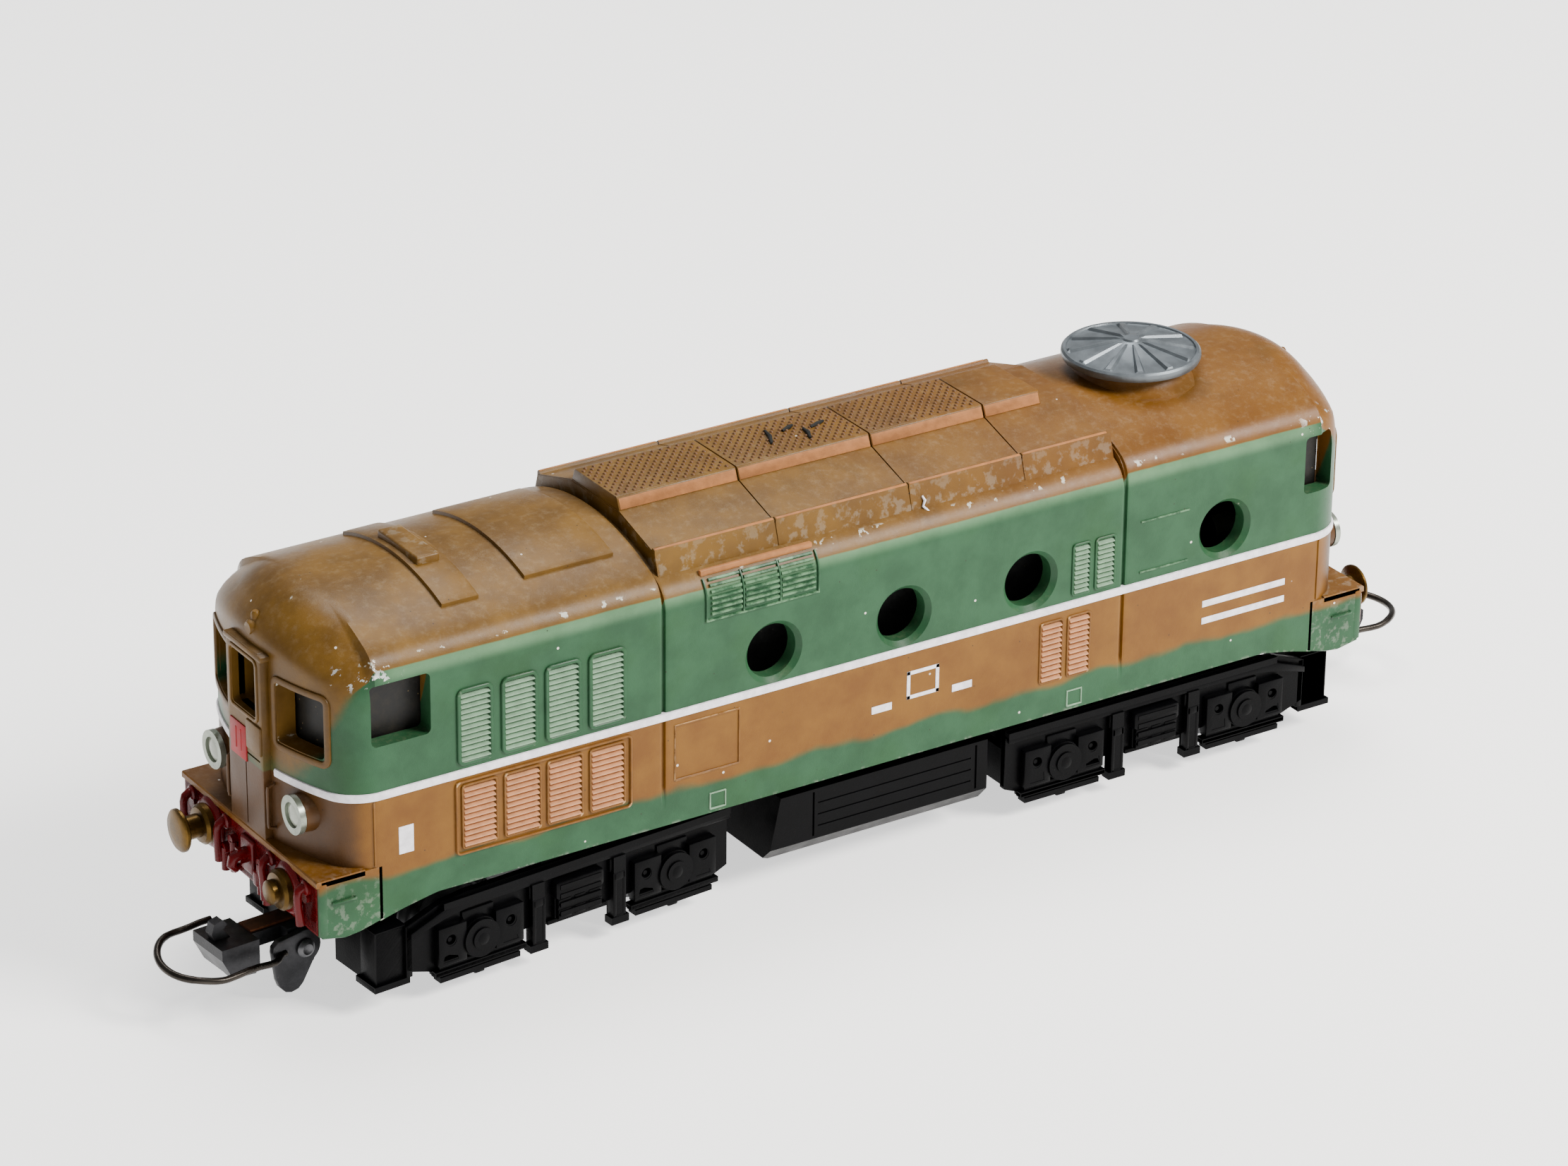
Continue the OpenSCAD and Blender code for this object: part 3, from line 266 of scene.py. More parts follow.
Z0 = 42.0
CAPX = 69.0
def roof_point(x, y):
    """Point and normal on the roof at x, y (arrays)."""
    x = np.asarray(x, float); y = np.asarray(y, float)
    drop = np.where((x > G1) & (x < G2), DROP, 0.0)
    z = np.where(np.abs(y) < TU * CR, CZ + np.sqrt(np.maximum(CR ** 2 - y ** 2, 1)), SHZ + np.sqrt(np.maximum(SHR ** 2 - np.maximum(np.abs(y) - SHY, 0) ** 2, 0.01))) - drop
    ny = np.where(np.abs(y) < TU * CR, y / CR, np.sign(y) * (np.abs(y) - SHY) / SHR)
    nz = np.sqrt(np.maximum(1 - ny ** 2, 0.01))
    return np.stack([x, y, z], -1), np.stack([0 * x, ny, nz], -1)

def nose_pt(y, z, s=-1, out=0.0):
    """Point and normal on the nose's front at y, z."""
    y = np.asarray(y, float); z = np.asarray(z, float)
    o = np.stack([np.full_like(y, s * 55.0), y, z], -1)
    d = np.zeros_like(o); d[..., 0] = s
    p = cast(o, d, lambda q: body_d(q[..., 0], q[..., 1], q[..., 2]), 30)
    e = 0.05
    f = lambda q: body_d(q[..., 0], q[..., 1], q[..., 2])
    n = np.stack([f(p + [e, 0, 0]) - f(p - [e, 0, 0]), f(p + [0, e, 0]) - f(p - [0, e, 0]), f(p + [0, 0, e]) - f(p - [0, 0, e])], -1)
    n /= np.linalg.norm(n, axis=-1)[..., None]
    return p + n * out, n

def skirt(ax):
    return np.interp(ax, [0, 61.2, 65.6, 71.8, 73.7, 76.9, 80], [15.05, 15.05, 14.2, 12.6, 12.4, 13.0, 13.0])

def shell_grid(off):
    """Closed-over surface of the body: verts (as array) and quads. Same topology for every offset."""
    groove = 0.42 if off == 0 else 0.0
    xs = list(np.arange(-CAPX, CAPX + 0.01, 1.0))
    for g in (G1, G2):
        xs = [x for x in xs if abs(x - g) > 0.8] + [g + d for d in (-0.7, -0.42, -0.3, -0.2, -0.05, 0.05, 0.2, 0.3, 0.42, 0.7)]
    xs = np.array(sorted(xs))
    low = 5
    zs = np.concatenate([np.linspace(20.3, Z0, 23)])
    be = np.radians(np.linspace(0, 180, 65))[1:-1]
    rows = []
    V = []
    idx = {}
    def depth(x, y):
        d = 0.0
        for g in (G1, G2):
            a = abs(x - g)
            d = max(d, groove * (1 if a < 0.21 else (0.12 if a < 0.31 else (0.03 if a < 0.43 else 0))))
        return d
    def seam(x, y):
        if off: return 0.0
        d = 0.0
        for g in (-11.9, 7.5, 24.4):
            a = abs(x - g)
            if a < 0.11: d = 0.2
            elif a < 0.21: d = 0.05
        return d * (1 if abs(y) < 13.3 else 0)
    cols = []
    for x in xs:
        drop = DROP if (G1 < x < G2) else 0.0
        zb = float(skirt(abs(x)))
        dd = depth(x, 0)
        c = []
        lows = np.linspace(zb, 20.3, low + 1)[:-1]
        def gd(z): return dd * min(1, max(0, (z - 19.0) / 0.6))
        for z in list(lows) + list(zs):
            c.append((x, -(HW - off - gd(z)), z))
        d = np.stack([0 * be, -np.cos(be), np.sin(be)], -1)
        p = cast(np.array([x, 0, Z0]), d, lambda q: sec_d(q[..., 1], q[..., 2], drop) + off)
        for q, dv in zip(p, d):
            k = dd
            c.append(tuple(q - dv * k))
        for z in list(zs)[::-1] + list(lows)[::-1]:
            c.append((x, (HW - off - gd(z)), z))
        cols.append(c)
    A = np.array(cols)                       # columns x rows x 3
    nc, nr = A.shape[:2]
    V = [A.reshape(-1, 3)]
    F = []
    for i in range(nc - 1):
        for j in range(nr - 1):
            a = i * nr + j
            F.append((a, a + nr, a + nr + 1, a + 1))
    n = nc * nr
    nlow, nz, nb = low, len(zs), len(be)
    psi = np.radians(np.concatenate([np.linspace(-90, 90, 91)]))[1:-1]
    for s, ci in ((-1, 0), (1, nc - 1)):
        base = ci * nr
        side0 = [base + nlow + k for k in range(nz)]                 # -Y side, upwards
        side1 = [base + nr - 1 - nlow - k for k in range(nz)]        # +Y side, upwards
        arc = [base + nlow + nz + k for k in range(nb)]              # over the roof from -Y
        half = nb // 2
        top = arc[half]
        origin = np.array([s * CAPX, 0, 0])
        P = []
        rings = []
        f = lambda q: body_d(q[..., 0], q[..., 1], q[..., 2], off)
        for z in zs:
            o = np.array([s * CAPX, 0, z])
            d = np.stack([s * np.cos(psi), np.sin(psi), 0 * psi], -1)
            rings.append(cast(o, d, f))
        for b in be[:half]:
            o = np.array([s * CAPX, 0, Z0])
            d = np.stack([s * np.cos(psi) * math.cos(b), np.sin(psi) * math.cos(b), 0 * psi + math.sin(b)], -1)
            rings.append(cast(o, d, f))
        R = np.array(rings)                 # rows x psi x 3
        m = len(psi)
        V.append(R.reshape(-1, 3))
        left = side0 + arc[:half]
        right = side1 + arc[::-1][:half]
        grid = [[left[r]] + [n + r * m + k for k in range(m)] + [right[r]] for r in range(len(rings))]
        for r in range(len(grid) - 1):
            for k in range(m + 1):
                q = (grid[r][k], grid[r][k + 1], grid[r + 1][k + 1], grid[r + 1][k])
                F.append(q if s > 0 else q[::-1])
        for k in range(m + 1):
            q = (grid[-1][k], grid[-1][k + 1], top)
            F.append(q if s > 0 else q[::-1])
        n += R.shape[0] * m
    return np.concatenate(V), F

def body_shell_mesh():
    v0, f0 = shell_grid(0.0)
    v1, f1 = shell_grid(2.4)
    n = len(v0)
    faces = list(f0) + [tuple(i + n for i in reversed(q)) for q in f1]
    count = {}
    for q in f0:
        for a, b in zip(q, q[1:] + q[:1]):
            count[(a, b)] = count.get((a, b), 0) + 1
    for (a, b) in list(count):
        if (b, a) not in count:
            faces.append((b, a, a + n, b + n))
    return np.concatenate([v0, v1]), faces

def boolean(base, cutter):
    m = base.modifiers.new("cut", 'BOOLEAN'); m.operation = 'DIFFERENCE'; m.object = cutter; m.solver = 'EXACT'
    dg = bpy.context.evaluated_depsgraph_get()
    me = bpy.data.meshes.new_from_object(base.evaluated_get(dg))
    base.modifiers.clear()
    base.data = me
    bpy.data.objects.remove(cutter)

PORT = [-14, 5, 24, 54.1]
GREEN_L = [(-58.1, -53.5), (-52.1, -47.4), (-46.1, -41.4), (-40.1, -35.2)]
BROWN_L = [(-57.8, -52.9), (-52.0, -46.9), (-46.1, -41.1), (-40.2, -35.2)]
TWIN_L = [(25.6, 29.2), (29.8, 33.4)]
EAVE_L = [(-23.0, -18.7), (-18.2, -13.4), (-13.0, -8.2)]
TALL_L = [(30.3, 33.1), (33.8, 36.9)]

# ------------------------------------------------------------------ materials
class G:
    """Small helper for procedural materials, working in the locomotive's own mm."""
    def __init__(self, name):
        m = bpy.data.materials.new(name); m.use_nodes = True
        self.m, self.t = m, m.node_tree
        self.t.nodes.clear()
        self.out = self.t.nodes.new("ShaderNodeOutputMaterial")
        self.b = self.t.nodes.new("ShaderNodeBsdfPrincipled")
        self.t.links.new(self.b.outputs[0], self.out.inputs[0])
        tc = self.t.nodes.new("ShaderNodeTexCoord")
        mp = self.t.nodes.new("ShaderNodeVectorMath"); mp.operation = 'MULTIPLY_ADD'
        self.t.links.new(tc.outputs["Object"], mp.inputs[0])
        mp.inputs[1].default_value = (1000, 1000, 1000); mp.inputs[2].default_value = (-SX, 0, 0)
        self.p = mp.outputs[0]
        s = self.t.nodes.new("ShaderNodeSeparateXYZ"); self.t.links.new(self.p, s.inputs[0])
        self.x, self.y, self.z = s.outputs
    def put(self, sock, v):
        if hasattr(v, "is_output") or isinstance(v, bpy.types.NodeSocket): self.t.links.new(v, sock)
        else:
            if hasattr(sock.default_value, "__len__") and len(sock.default_value) == 4: v = (v, v, v, 1.0) if isinstance(v, (int, float)) else tuple(v)[:3] + (1.0,)
            sock.default_value = v
    def op(self, o, a, b=0.0, c=0.0, clamp=False):
        n = self.t.nodes.new("ShaderNodeMath"); n.operation = o; n.use_clamp = clamp
        self.put(n.inputs[0], a); self.put(n.inputs[1], b); self.put(n.inputs[2], c)
        return n.outputs[0]
    def mix(self, f, a, b, kind='MIX'):
        n = self.t.nodes.new("ShaderNodeMix"); n.data_type = 'RGBA'; n.blend_type = kind
        self.put(n.inputs[0], f); self.put(n.inputs[6], a); self.put(n.inputs[7], b)
        return n.outputs[2]
    def noise(self, scale, detail=3.0, rough=0.55, dist=0.0, stretch=None, seed=0.0):
        n = self.t.nodes.new("ShaderNodeTexNoise")
        v = self.p
        k = self.t.nodes.new("ShaderNodeVectorMath"); k.operation = 'MULTIPLY_ADD'
        self.t.links.new(v, k.inputs[0])
        k.inputs[1].default_value = stretch or (1, 1, 1); k.inputs[2].default_value = (seed * 17.3, seed * 5.1, seed * 9.7)
        self.t.links.new(k.outputs[0], n.inputs["Vector"])
        n.inputs["Scale"].default_value = scale; n.inputs["Detail"].default_value = detail
        n.inputs["Roughness"].default_value = rough; n.inputs["Distortion"].default_value = dist
        return n.outputs[0]
    def step(self, v, lo, hi):
        """0 below lo, 1 above hi, smooth between. hi may be below lo."""
        n = self.t.nodes.new("ShaderNodeMapRange"); n.interpolation_type = 'SMOOTHSTEP'
        inv = hi < lo
        self.put(n.inputs[0], v)
        n.inputs[1].default_value = min(lo, hi); n.inputs[2].default_value = max(lo, hi)
        n.inputs[3].default_value = 1.0 if inv else 0.0; n.inputs[4].default_value = 0.0 if inv else 1.0
        return n.outputs[0]
    def mul(self, a, b): return self.op('MULTIPLY', a, b)
    def add(self, a, b): return self.op('ADD', a, b)
    def dots(self, scale, thr, seed=0.0, soft=0.06):
        """Small specks: 1 inside."""
        n = self.t.nodes.new("ShaderNodeTexVoronoi"); n.feature = 'F1'
        k = self.t.nodes.new("ShaderNodeVectorMath"); k.operation = 'ADD'
        self.t.links.new(self.p, k.inputs[0]); k.inputs[1].default_value = (seed * 13.7, seed * 7.9, seed * 3.3)
        self.t.links.new(k.outputs[0], n.inputs["Vector"]); n.inputs["Scale"].default_value = scale
        d = self.step(n.outputs["Distance"], thr + soft, thr)
        c = self.t.nodes.new("ShaderNodeSeparateColor"); self.t.links.new(n.outputs["Color"], c.inputs[0])
        return self.mul(d, self.step(c.outputs[0], 0.62, 0.66))
    def edge(self, lo=0.52, hi=0.6):
        g = self.t.nodes.new("ShaderNodeNewGeometry")
        return self.step(g.outputs["Pointiness"], lo, hi)
    def up(self):
        g = self.t.nodes.new("ShaderNodeNewGeometry")
        s = self.t.nodes.new("ShaderNodeSeparateXYZ"); self.t.links.new(g.outputs["Normal"], s.inputs[0])
        return s.outputs[2]
    def finish(self, col, rough, metal=0.0, bump=None, strength=0.3, dist=0.00005, coat=0.0, spec=0.2):
        self.put(self.b.inputs["Base Color"], col); self.put(self.b.inputs["Roughness"], rough)
        self.put(self.b.inputs["Metallic"], metal)
        self.b.inputs["Specular IOR Level"].default_value = spec
        if coat: self.b.inputs["Coat Weight"].default_value = coat; self.b.inputs["Coat Roughness"].default_value = 0.25
        if bump is not None:
            n = self.t.nodes.new("ShaderNodeBump"); n.inputs["Strength"].default_value = strength; n.inputs["Distance"].default_value = dist
            self.put(n.inputs["Height"], bump); self.t.links.new(n.outputs[0], self.b.inputs["Normal"])
        return self.m

def lin(r, g, b):
    f = lambda c: (c / 255 / 12.92) if c / 255 <= 0.04045 else ((c / 255 + 0.055) / 1.055) ** 2.4
    return (f(r), f(g), f(b))

def plain(name, col, rough=0.5, metal=0.0, var=0.25, dust=0.0, wear=None, bump=0.25, bscale=3.0, spec=0.2, coat=0.0, dustcol=(150, 135, 115), seed=0.0, fine=0.00004):
    g = G(name)
    c = lin(*col)
    n1 = g.noise(0.35, 4, 0.6, seed=seed); n2 = g.noise(bscale, 3, 0.6, seed=seed + 1)
    dark = tuple(v * (1 - var) for v in c); lite = tuple(min(1, v * (1 + var)) for v in c)
    k = g.mix(g.step(n1, 0.35, 0.65), dark, lite)
    if dust:
        d = g.mul(g.mul(g.step(g.up(), -0.2, 0.9), g.step(g.noise(0.8, 5, 0.65, seed=seed + 2), 0.35, 0.75)), dust)
        sp = g.mul(g.dots(1.3, 0.09, seed), min(1.0, dust * 1.5))
        k = g.mix(g.op('MAXIMUM', d, sp), k, lin(*dustcol))
    if wear is not None:
        e = g.mul(g.edge(0.53, 0.62), g.step(g.noise(1.4, 4, 0.6, seed=seed + 3), 0.42, 0.6))
        k = g.mix(e, k, lin(*wear))
    r = g.add(g.mul(g.op('SUBTRACT', n1, 0.5), 0.35), rough)
    return g.finish(k, g.op('MINIMUM', g.op('MAXIMUM', r, 0.05), 1.0), metal, n2, bump, fine, coat=coat, spec=spec)

def body_paint(worn=True):
    g = G("body_paint_look" if worn else "body_paint_fittings")
    ROOF, ROOF2 = lin(84, 58, 18), lin(104, 74, 24)
    # the third green is a painted highlight colour for the rounded shoulder
    GRN, GRN2, SHOULDER_HIGHLIGHT_GREEN = lin(28, 64, 38), lin(40, 78, 50), lin(92, 126, 92)
    BAND, BAND2 = lin(98, 60, 12), lin(112, 74, 20)
    x, y, z = g.x, g.y, g.z
    ay = g.op('ABSOLUTE', y); ax = g.op('ABSOLUTE', x)
    big = g.noise(0.10, 4, 0.55); mid = g.noise(0.16, 5, 0.6, seed=1); fine = g.noise(2.6, 3, 0.6, seed=2)
    grain = g.noise(9.0, 2, 0.6, seed=3)
    roof = g.mix(g.step(mid, 0.3, 0.7), ROOF, ROOF2)
    # the far half of the roof is a little redder
    roof = g.mix(g.mul(g.step(x, -20, 50), 0.4), roof, lin(104, 56, 12))
    roof = g.mix(g.mul(g.step(big, 0.52, 0.7), 0.4), roof, lin(66, 44, 6))
    green = g.mix(g.step(mid, 0.3, 0.7), GRN, GRN2)
    green = g.mix(g.mul(g.step(big, 0.5, 0.72), 0.3), green, lin(26, 64, 20))
    band = g.mix(g.step(mid, 0.32, 0.68), BAND, BAND2)
    band = g.mix(g.mul(g.step(big, 0.5, 0.7), 0.35), band, lin(92, 56, 8))
    # painted highlight: pale green along the rounded shoulder, on the long sides only
    shoulder_highlight = g.mul(g.step(z, 43.6, 45.2), g.step(z, 46.9, 46.0))
    shoulder_highlight = g.mul(shoulder_highlight, g.step(ax, 69.5, 66.0))
    green = g.mix(g.mul(shoulder_highlight, g.add(g.mul(mid, 0.9), 0.25)), green, SHOULDER_HIGHLIGHT_GREEN)
    # where green meets brown above the stripe
    t = g.op('POWER', g.op('DIVIDE', g.op('SUBTRACT', ay, 4.0), 13.0, clamp=True), 3.0)
    zb = g.add(g.mul(t, 16.0), 30.6)
    nose = g.step(ax, 70.2, 72.5)
    wob = g.mul(g.mul(g.op('SUBTRACT', mid, 0.5), 5.0), g.add(g.mul(nose, 0.85), 0.15))
    zz = g.add(z, wob)
    diff = g.op('SUBTRACT', zz, zb)
    soft = g.step(diff, -1.7, 1.7); hard = g.step(diff, -0.25, 0.25)
    up = g.mix(g.mul(nose, 1.0), g.mix(hard, green, roof), g.mix(soft, green, roof))
    # below the stripe
    w2 = g.noise(0.12, 2, 0.5, seed=5)
    zl = g.add(z, g.mul(g.op('SUBTRACT', w2, 0.5), 3.4))
    lower = g.mix(g.step(zl, 18.7, 19.9), green, band)
    nb = g.mix(g.step(mid, 0.3, 0.7), lin(66, 42, 18), lin(80, 52, 24))
    lower = g.mix(g.mul(nose, g.step(z, 20.6, 20.9)), lower, nb)
    col = g.mix(g.step(z, 29.7, 29.9), lower, up)
    # scuffs, bare metal chips on the cab corner, small specks
    corner = g.mul(g.mul(g.step(ax, 64.5, 69.5), g.step(z, 43.2, 44.6)), g.mul(g.step(z, 47.4, 46.2), g.step(ay, 13.0, 14.2)))
    chip = g.mul(corner, g.step(g.noise(0.55, 5, 0.65, seed=6), 0.58, 0.61))
    eave = g.mul(g.mul(g.mul(g.step(z, 46.1, 46.4), g.step(z, 47.0, 46.7)), g.step(g.noise(0.5, 4, 0.6, seed=8), 0.6, 0.63)), g.mul(g.step(ay, 14.5, 15.0), g.step(ax, 71, 69)))
    edge = g.mul(g.mul(g.edge(0.56, 0.66), g.step(g.noise(0.8, 4, 0.6, seed=7), 0.5, 0.62)), 0.7 if worn else 0.12)
    rub = g.op('MAXIMUM', edge, g.mul(eave, 0.8))
    col = g.mix(g.mul(rub, 0.85), col, lin(205, 205, 190))
    col = g.mix(chip, col, lin(206, 208, 204))
    dot = g.dots(0.30, 0.042, 1.0, 0.015)
    col = g.mix(g.mul(dot, 0.9), col, lin(222, 214, 204))
    dd = g.dots(0.6, 0.045, 2.0, 0.02)
    col = g.mix(g.mul(dd, 0.8), col, lin(40, 34, 26))
    dust = g.mul(g.mul(g.step(g.up(), 0.1, 0.95), g.step(g.noise(0.9, 6, 0.7, seed=9), 0.45, 0.8)), 0.10)
    col = g.mix(dust, col, lin(196, 180, 150))
    r = g.add(g.mul(mid, 0.25), g.mul(fine, 0.1)); r = g.add(r, 0.22)
    r = g.mix(chip, r, 0.25)
    h = g.add(g.mul(grain, 0.6), g.mul(fine, 0.5)); h = g.op('SUBTRACT', h, g.mul(chip, 0.6))
    return g.finish(col, r, g.mul(chip, 0.7), h, 0.35, 0.00006, spec=0.2)

PAINT = body_paint()
PAINT2 = body_paint(False)
def repaint(name, base, amt=0.75, worn=None, lo=0.52, hi=0.58, rough=0.42):
    """Flat enamel for small raised pieces, worn through on its edges."""
    g = G(name); c = lin(*base); n = g.noise(0.9, 4, 0.6); k = g.mix(g.step(n, 0.3, 0.7), tuple(v * 0.85 for v in c), tuple(min(1, v * 1.12) for v in c))
    if worn: k = g.mix(g.mul(g.step(g.noise(0.7, 5, 0.65, seed=4), 0.38, 0.62), g.mul(g.edge(lo, hi), amt)), k, lin(*worn))
    return g.finish(k, g.add(g.mul(n, 0.25), rough - 0.12), 0.0, g.noise(5, 3, 0.6, seed=2), 0.3, 0.00005)

MINT = repaint("slat_mint", (114, 142, 116), 0)
TAN = repaint("slat_tan", (174, 122, 84), 0)
ROOFW = repaint("roof_rubbed", (150, 98, 56), 0.0)
TREAD = repaint("tread_brown", (92, 62, 36), 0.0)
GREEN = repaint("louver_green", (32, 68, 42), 0.5, (120, 160, 120), 0.55, 0.65)
BROWN = repaint("louver_brown", (104, 66, 20), 0.6, (206, 168, 120), 0.55, 0.65)
ROOFP = repaint("roof_raised", (84, 58, 18), 0.3, (150, 116, 70), 0.56, 0.66)
WHITE = repaint("stripe_white", (226, 222, 226), 0.0, None, rough=0.5)
RED = repaint("red_enamel_look", (84, 0, 3), 0.0, None, rough=0.26)
REDDOOR = repaint("door_red", (140, 4, 12), 0.0)
SLOT = plain("dark_slot", (22, 22, 20), 0.6, 0, 0.3)
BLACK = plain("black_plastic_look", (3, 3, 4), 0.36, 0, 0.25, spec=0.06, dust=0.0, wear=None, bump=0.4, bscale=4)
CHAS = plain("chassis_look", (4, 4, 5), 0.4, 0.0, 0.25, spec=0.06, dust=0.0, wear=None, bump=0.4, bscale=4, seed=3)
PANEL = plain("dusty_black_panel", (18, 17, 16), 0.4, 0, 0.2, dust=0.6, bump=0.3, seed=5, dustcol=(96, 82, 56))
SILVER = plain("fan_silver_look", (104, 110, 114), 0.44, 0.8, 0.12, bump=0.4, bscale=6, wear=None, seed=2)
BRASS = plain("aged_brass_look", (84, 62, 24), 0.36, 0.8, 0.3, bump=0.5, bscale=3, wear=None, seed=4)
GUN = plain("gunmetal_look", (46, 46, 48), 0.36, 0.7, 0.28, dust=0.04, wear=None, bump=0.5, bscale=4, seed=6)
STEEL = plain("steel_look", (80, 80, 82), 0.34, 0.8, 0.15, bump=0.3, bscale=5, seed=7)
LOOP = plain("loop_steel_look", (52, 48, 44), 0.28, 0.85, 0.3, bump=0.3, bscale=5, seed=8)
WHEEL = plain("wheel_steel_look", (148, 146, 140), 0.30, 0.95, 0.22, dust=0.12, bump=0.3, bscale=4, seed=9)
LEAD = plain("lead_grey_look", (60, 60, 60), 0.6, 0.35, 0.25, dust=0.15, bump=0.6, bscale=2, seed=10)
BRONZE = plain("bronze_strip_look", (96, 56, 34), 0.36, 0.7, 0.3, bump=0.3, seed=11)
COPPER = plain("copper_look", (176, 100, 64), 0.3, 0.9, 0.2, seed=12)
GLASS = plain("lamp_lens_look", (150, 156, 140), 0.15, 0.0, 0.1, seed=13, spec=0.8)
RIM = plain("lamp_rim_look", (140, 146, 134), 0.3, 0.7, 0.2, seed=14)
REDWIRE = plain("red_insulation_look", (166, 30, 24), 0.4, 0, 0.15, seed=15)
CAST = plain("motor_casting_look", (86, 88, 88), 0.5, 0.5, 0.2, seed=16)
FERR = plain("ferrite_look", (48, 48, 52), 0.6, 0.1, 0.2, seed=17)
PHEN = plain("phenolic_look", (96, 60, 34), 0.5, 0, 0.25, seed=18)
CARB = plain("carbon_look", (26, 26, 26), 0.7, 0, 0.2, seed=19)
WIND = plain("winding_look", (170, 84, 40), 0.3, 0.6, 0.25, bump=0.8, bscale=5, seed=20)
NYLON = plain("nylon_look", (222, 216, 198), 0.42, 0, 0.08, seed=21)
LOOKS = {"body_paint": PAINT, "chassis_metal": CHAS, "black_plastic": BLACK, "fan_silver": SILVER, "red_enamel": RED, "aged_brass": BRASS, "lamp_rim": RIM, "lamp_glass": GLASS, "lead_grey": LEAD, "steel": STEEL, "red_insulation": REDWIRE, "motor_casting": CAST, "ferrite": FERR, "phenolic": PHEN, "carbon": CARB, "bronze_strip": BRONZE, "winding": WIND, "copper": COPPER, "nylon": NYLON, "wheel_steel": WHEEL, "gunmetal": GUN, "loop_steel": LOOP}

def piece(m, name, mat, body, place=to_row, angle=35, stands=()):
    o = m.obj(name, mat, place, angle) if isinstance(m, M) else m
    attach(o, body)
    if stands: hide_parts(*stands)
    return o
LB = "locomotive_body"
# ------------------------------------------------------------------ body shell
def cutter(parts):
    m = M()
    for v, f in parts: m.add(v, f)
    return m.obj("cutter", None)

shell = M(); v, f = body_shell_mesh(); shell.add(v, f)
shell = shell.obj("body_form", PAINT)
holes = []
for px in PORT:
    for s in (-1, 1):
        holes.append(lathe([(0, 13), (3.5, 13), (3.5, 16.35), (4.15, 17.05), (4.2, 18.5), (0, 18.5)], (px, 0, 34.5), 'y', 64, flip=(s < 0)))
for x0, x1 in ((-69.6, -61.7), (66.6, 71.4)):
    for s in (-1, 1):
        a, b = (13.5, 18.5)
        p = rrect(x0, 36.2, x1, 44.1, 0.7)
        holes.append(prism(p, 'y', min(s * a, s * b), max(s * a, s * b)))
for e in (-1, 1):
    for s in (-1, 1):
        p = [(s * q[0], q[1]) for q in rrect(5.8, 34.2, 13.3, 41.9, 0.6)]
        holes.append(prism(p, 'x', *sorted((e * 66, e * 79))))
    holes.append(prism(rrect(-2.9, 36.2, 2.9, 43.3, 0.5), 'x', *sorted((e * 66, e * 79))))

# louvre pockets: thin slots let into the wall
for x0, x1 in GREEN_L:
    for s in (-1, 1): holes.append(rbox((x0 + 0.35, min(s * 16.45, s * 18), 31.35), (x1 - 0.35, max(s * 16.45, s * 18), 40.35), 0))
for x0, x1 in BROWN_L + TWIN_L:
    for s in (-1, 1): holes.append(rbox((x0 + 0.35, min(s * 16.45, s * 18), 20.0), (x1 - 0.35, max(s * 16.45, s * 18), 28.0), 0))
for x0, x1 in TALL_L:
    for s in (-1, 1): holes.append(rbox((x0 + 0.3, min(s * 16.45, s * 18), 31.2), (x1 - 0.3, max(s * 16.45, s * 18), 37.7), 0))
boolean(shell, cutter(holes))
smooth(shell, 38)
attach(shell, LB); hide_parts("body_shell")

# louvre blades
def blades(m, x0, x1, z0, z1, n, pitch_in=0.3):
    h = (z1 - z0) / n
    for i in range(n):
        a = z0 + i * h
        pr = [(16.3, a + 0.04 * h), (17.28, a + 0.06 * h), (17.36, a + 0.2 * h), (17.3, a + 0.32 * h), (16.75, a + 0.78 * h), (16.3, a + 0.82 * h)]
        v, f = prism(pr, 'x', x0, x1, 0.05, 1)
        m.both(v, f)
def frame_strip(m, x0, x1, z0, z1, w=0.4, h=0.25, r=0.35):
    p = rrect(x0, z0, x1, z1, r, 4)
    P = np.array([(a, 17.0, b) for a, b in p]); N = np.tile([0, 1.0, 0], (len(P), 1))
    v, f = ribbon(P, N, w, h, 0.3, True)
    m.both(v, f)
gm, bm_, gf, bfm = M(), M(), M(), M()
for x0, x1 in GREEN_L:
    blades(gm, x0 + 0.3, x1 - 0.3, 31.35, 40.35, 13); frame_strip(gf, x0 + 0.1, x1 - 0.1, 31.1, 40.6, 0.55, 0.32, 0.6)
for x0, x1 in TALL_L:
    blades(gm, x0 + 0.3, x1 - 0.3, 31.2, 37.7, 10); frame_strip(gf, x0 + 0.1, x1 - 0.1, 31.0, 37.9, 0.35, 0.2)
for x0, x1 in BROWN_L:
    blades(bm_, x0 + 0.3, x1 - 0.3, 20.0, 28.0, 11); frame_strip(bfm, x0 + 0.12, x1 - 0.12, 19.85, 28.15, 0.35, 0.25)
for x0, x1 in TWIN_L:
    blades(bm_, x0 + 0.3, x1 - 0.3, 20.0, 28.0, 11); frame_strip(bfm, x0 + 0.12, x1 - 0.12, 19.85, 28.15, 0.3, 0.18)
# one wide border round the four brown panels, worn along its foot
frame_strip(bfm, -58.5, -34.4, 19.2, 28.7, 0.34, 0.3, 0.5)
piece(gm, "louvers_green", MINT, LB, angle=30)
piece(bm_, "louvers_brown", TAN, LB, angle=30)
piece(gf, "louver_frames_green", PAINT2, LB, angle=40)
piece(bfm, "louver_frames_brown", BROWN, LB, angle=40)

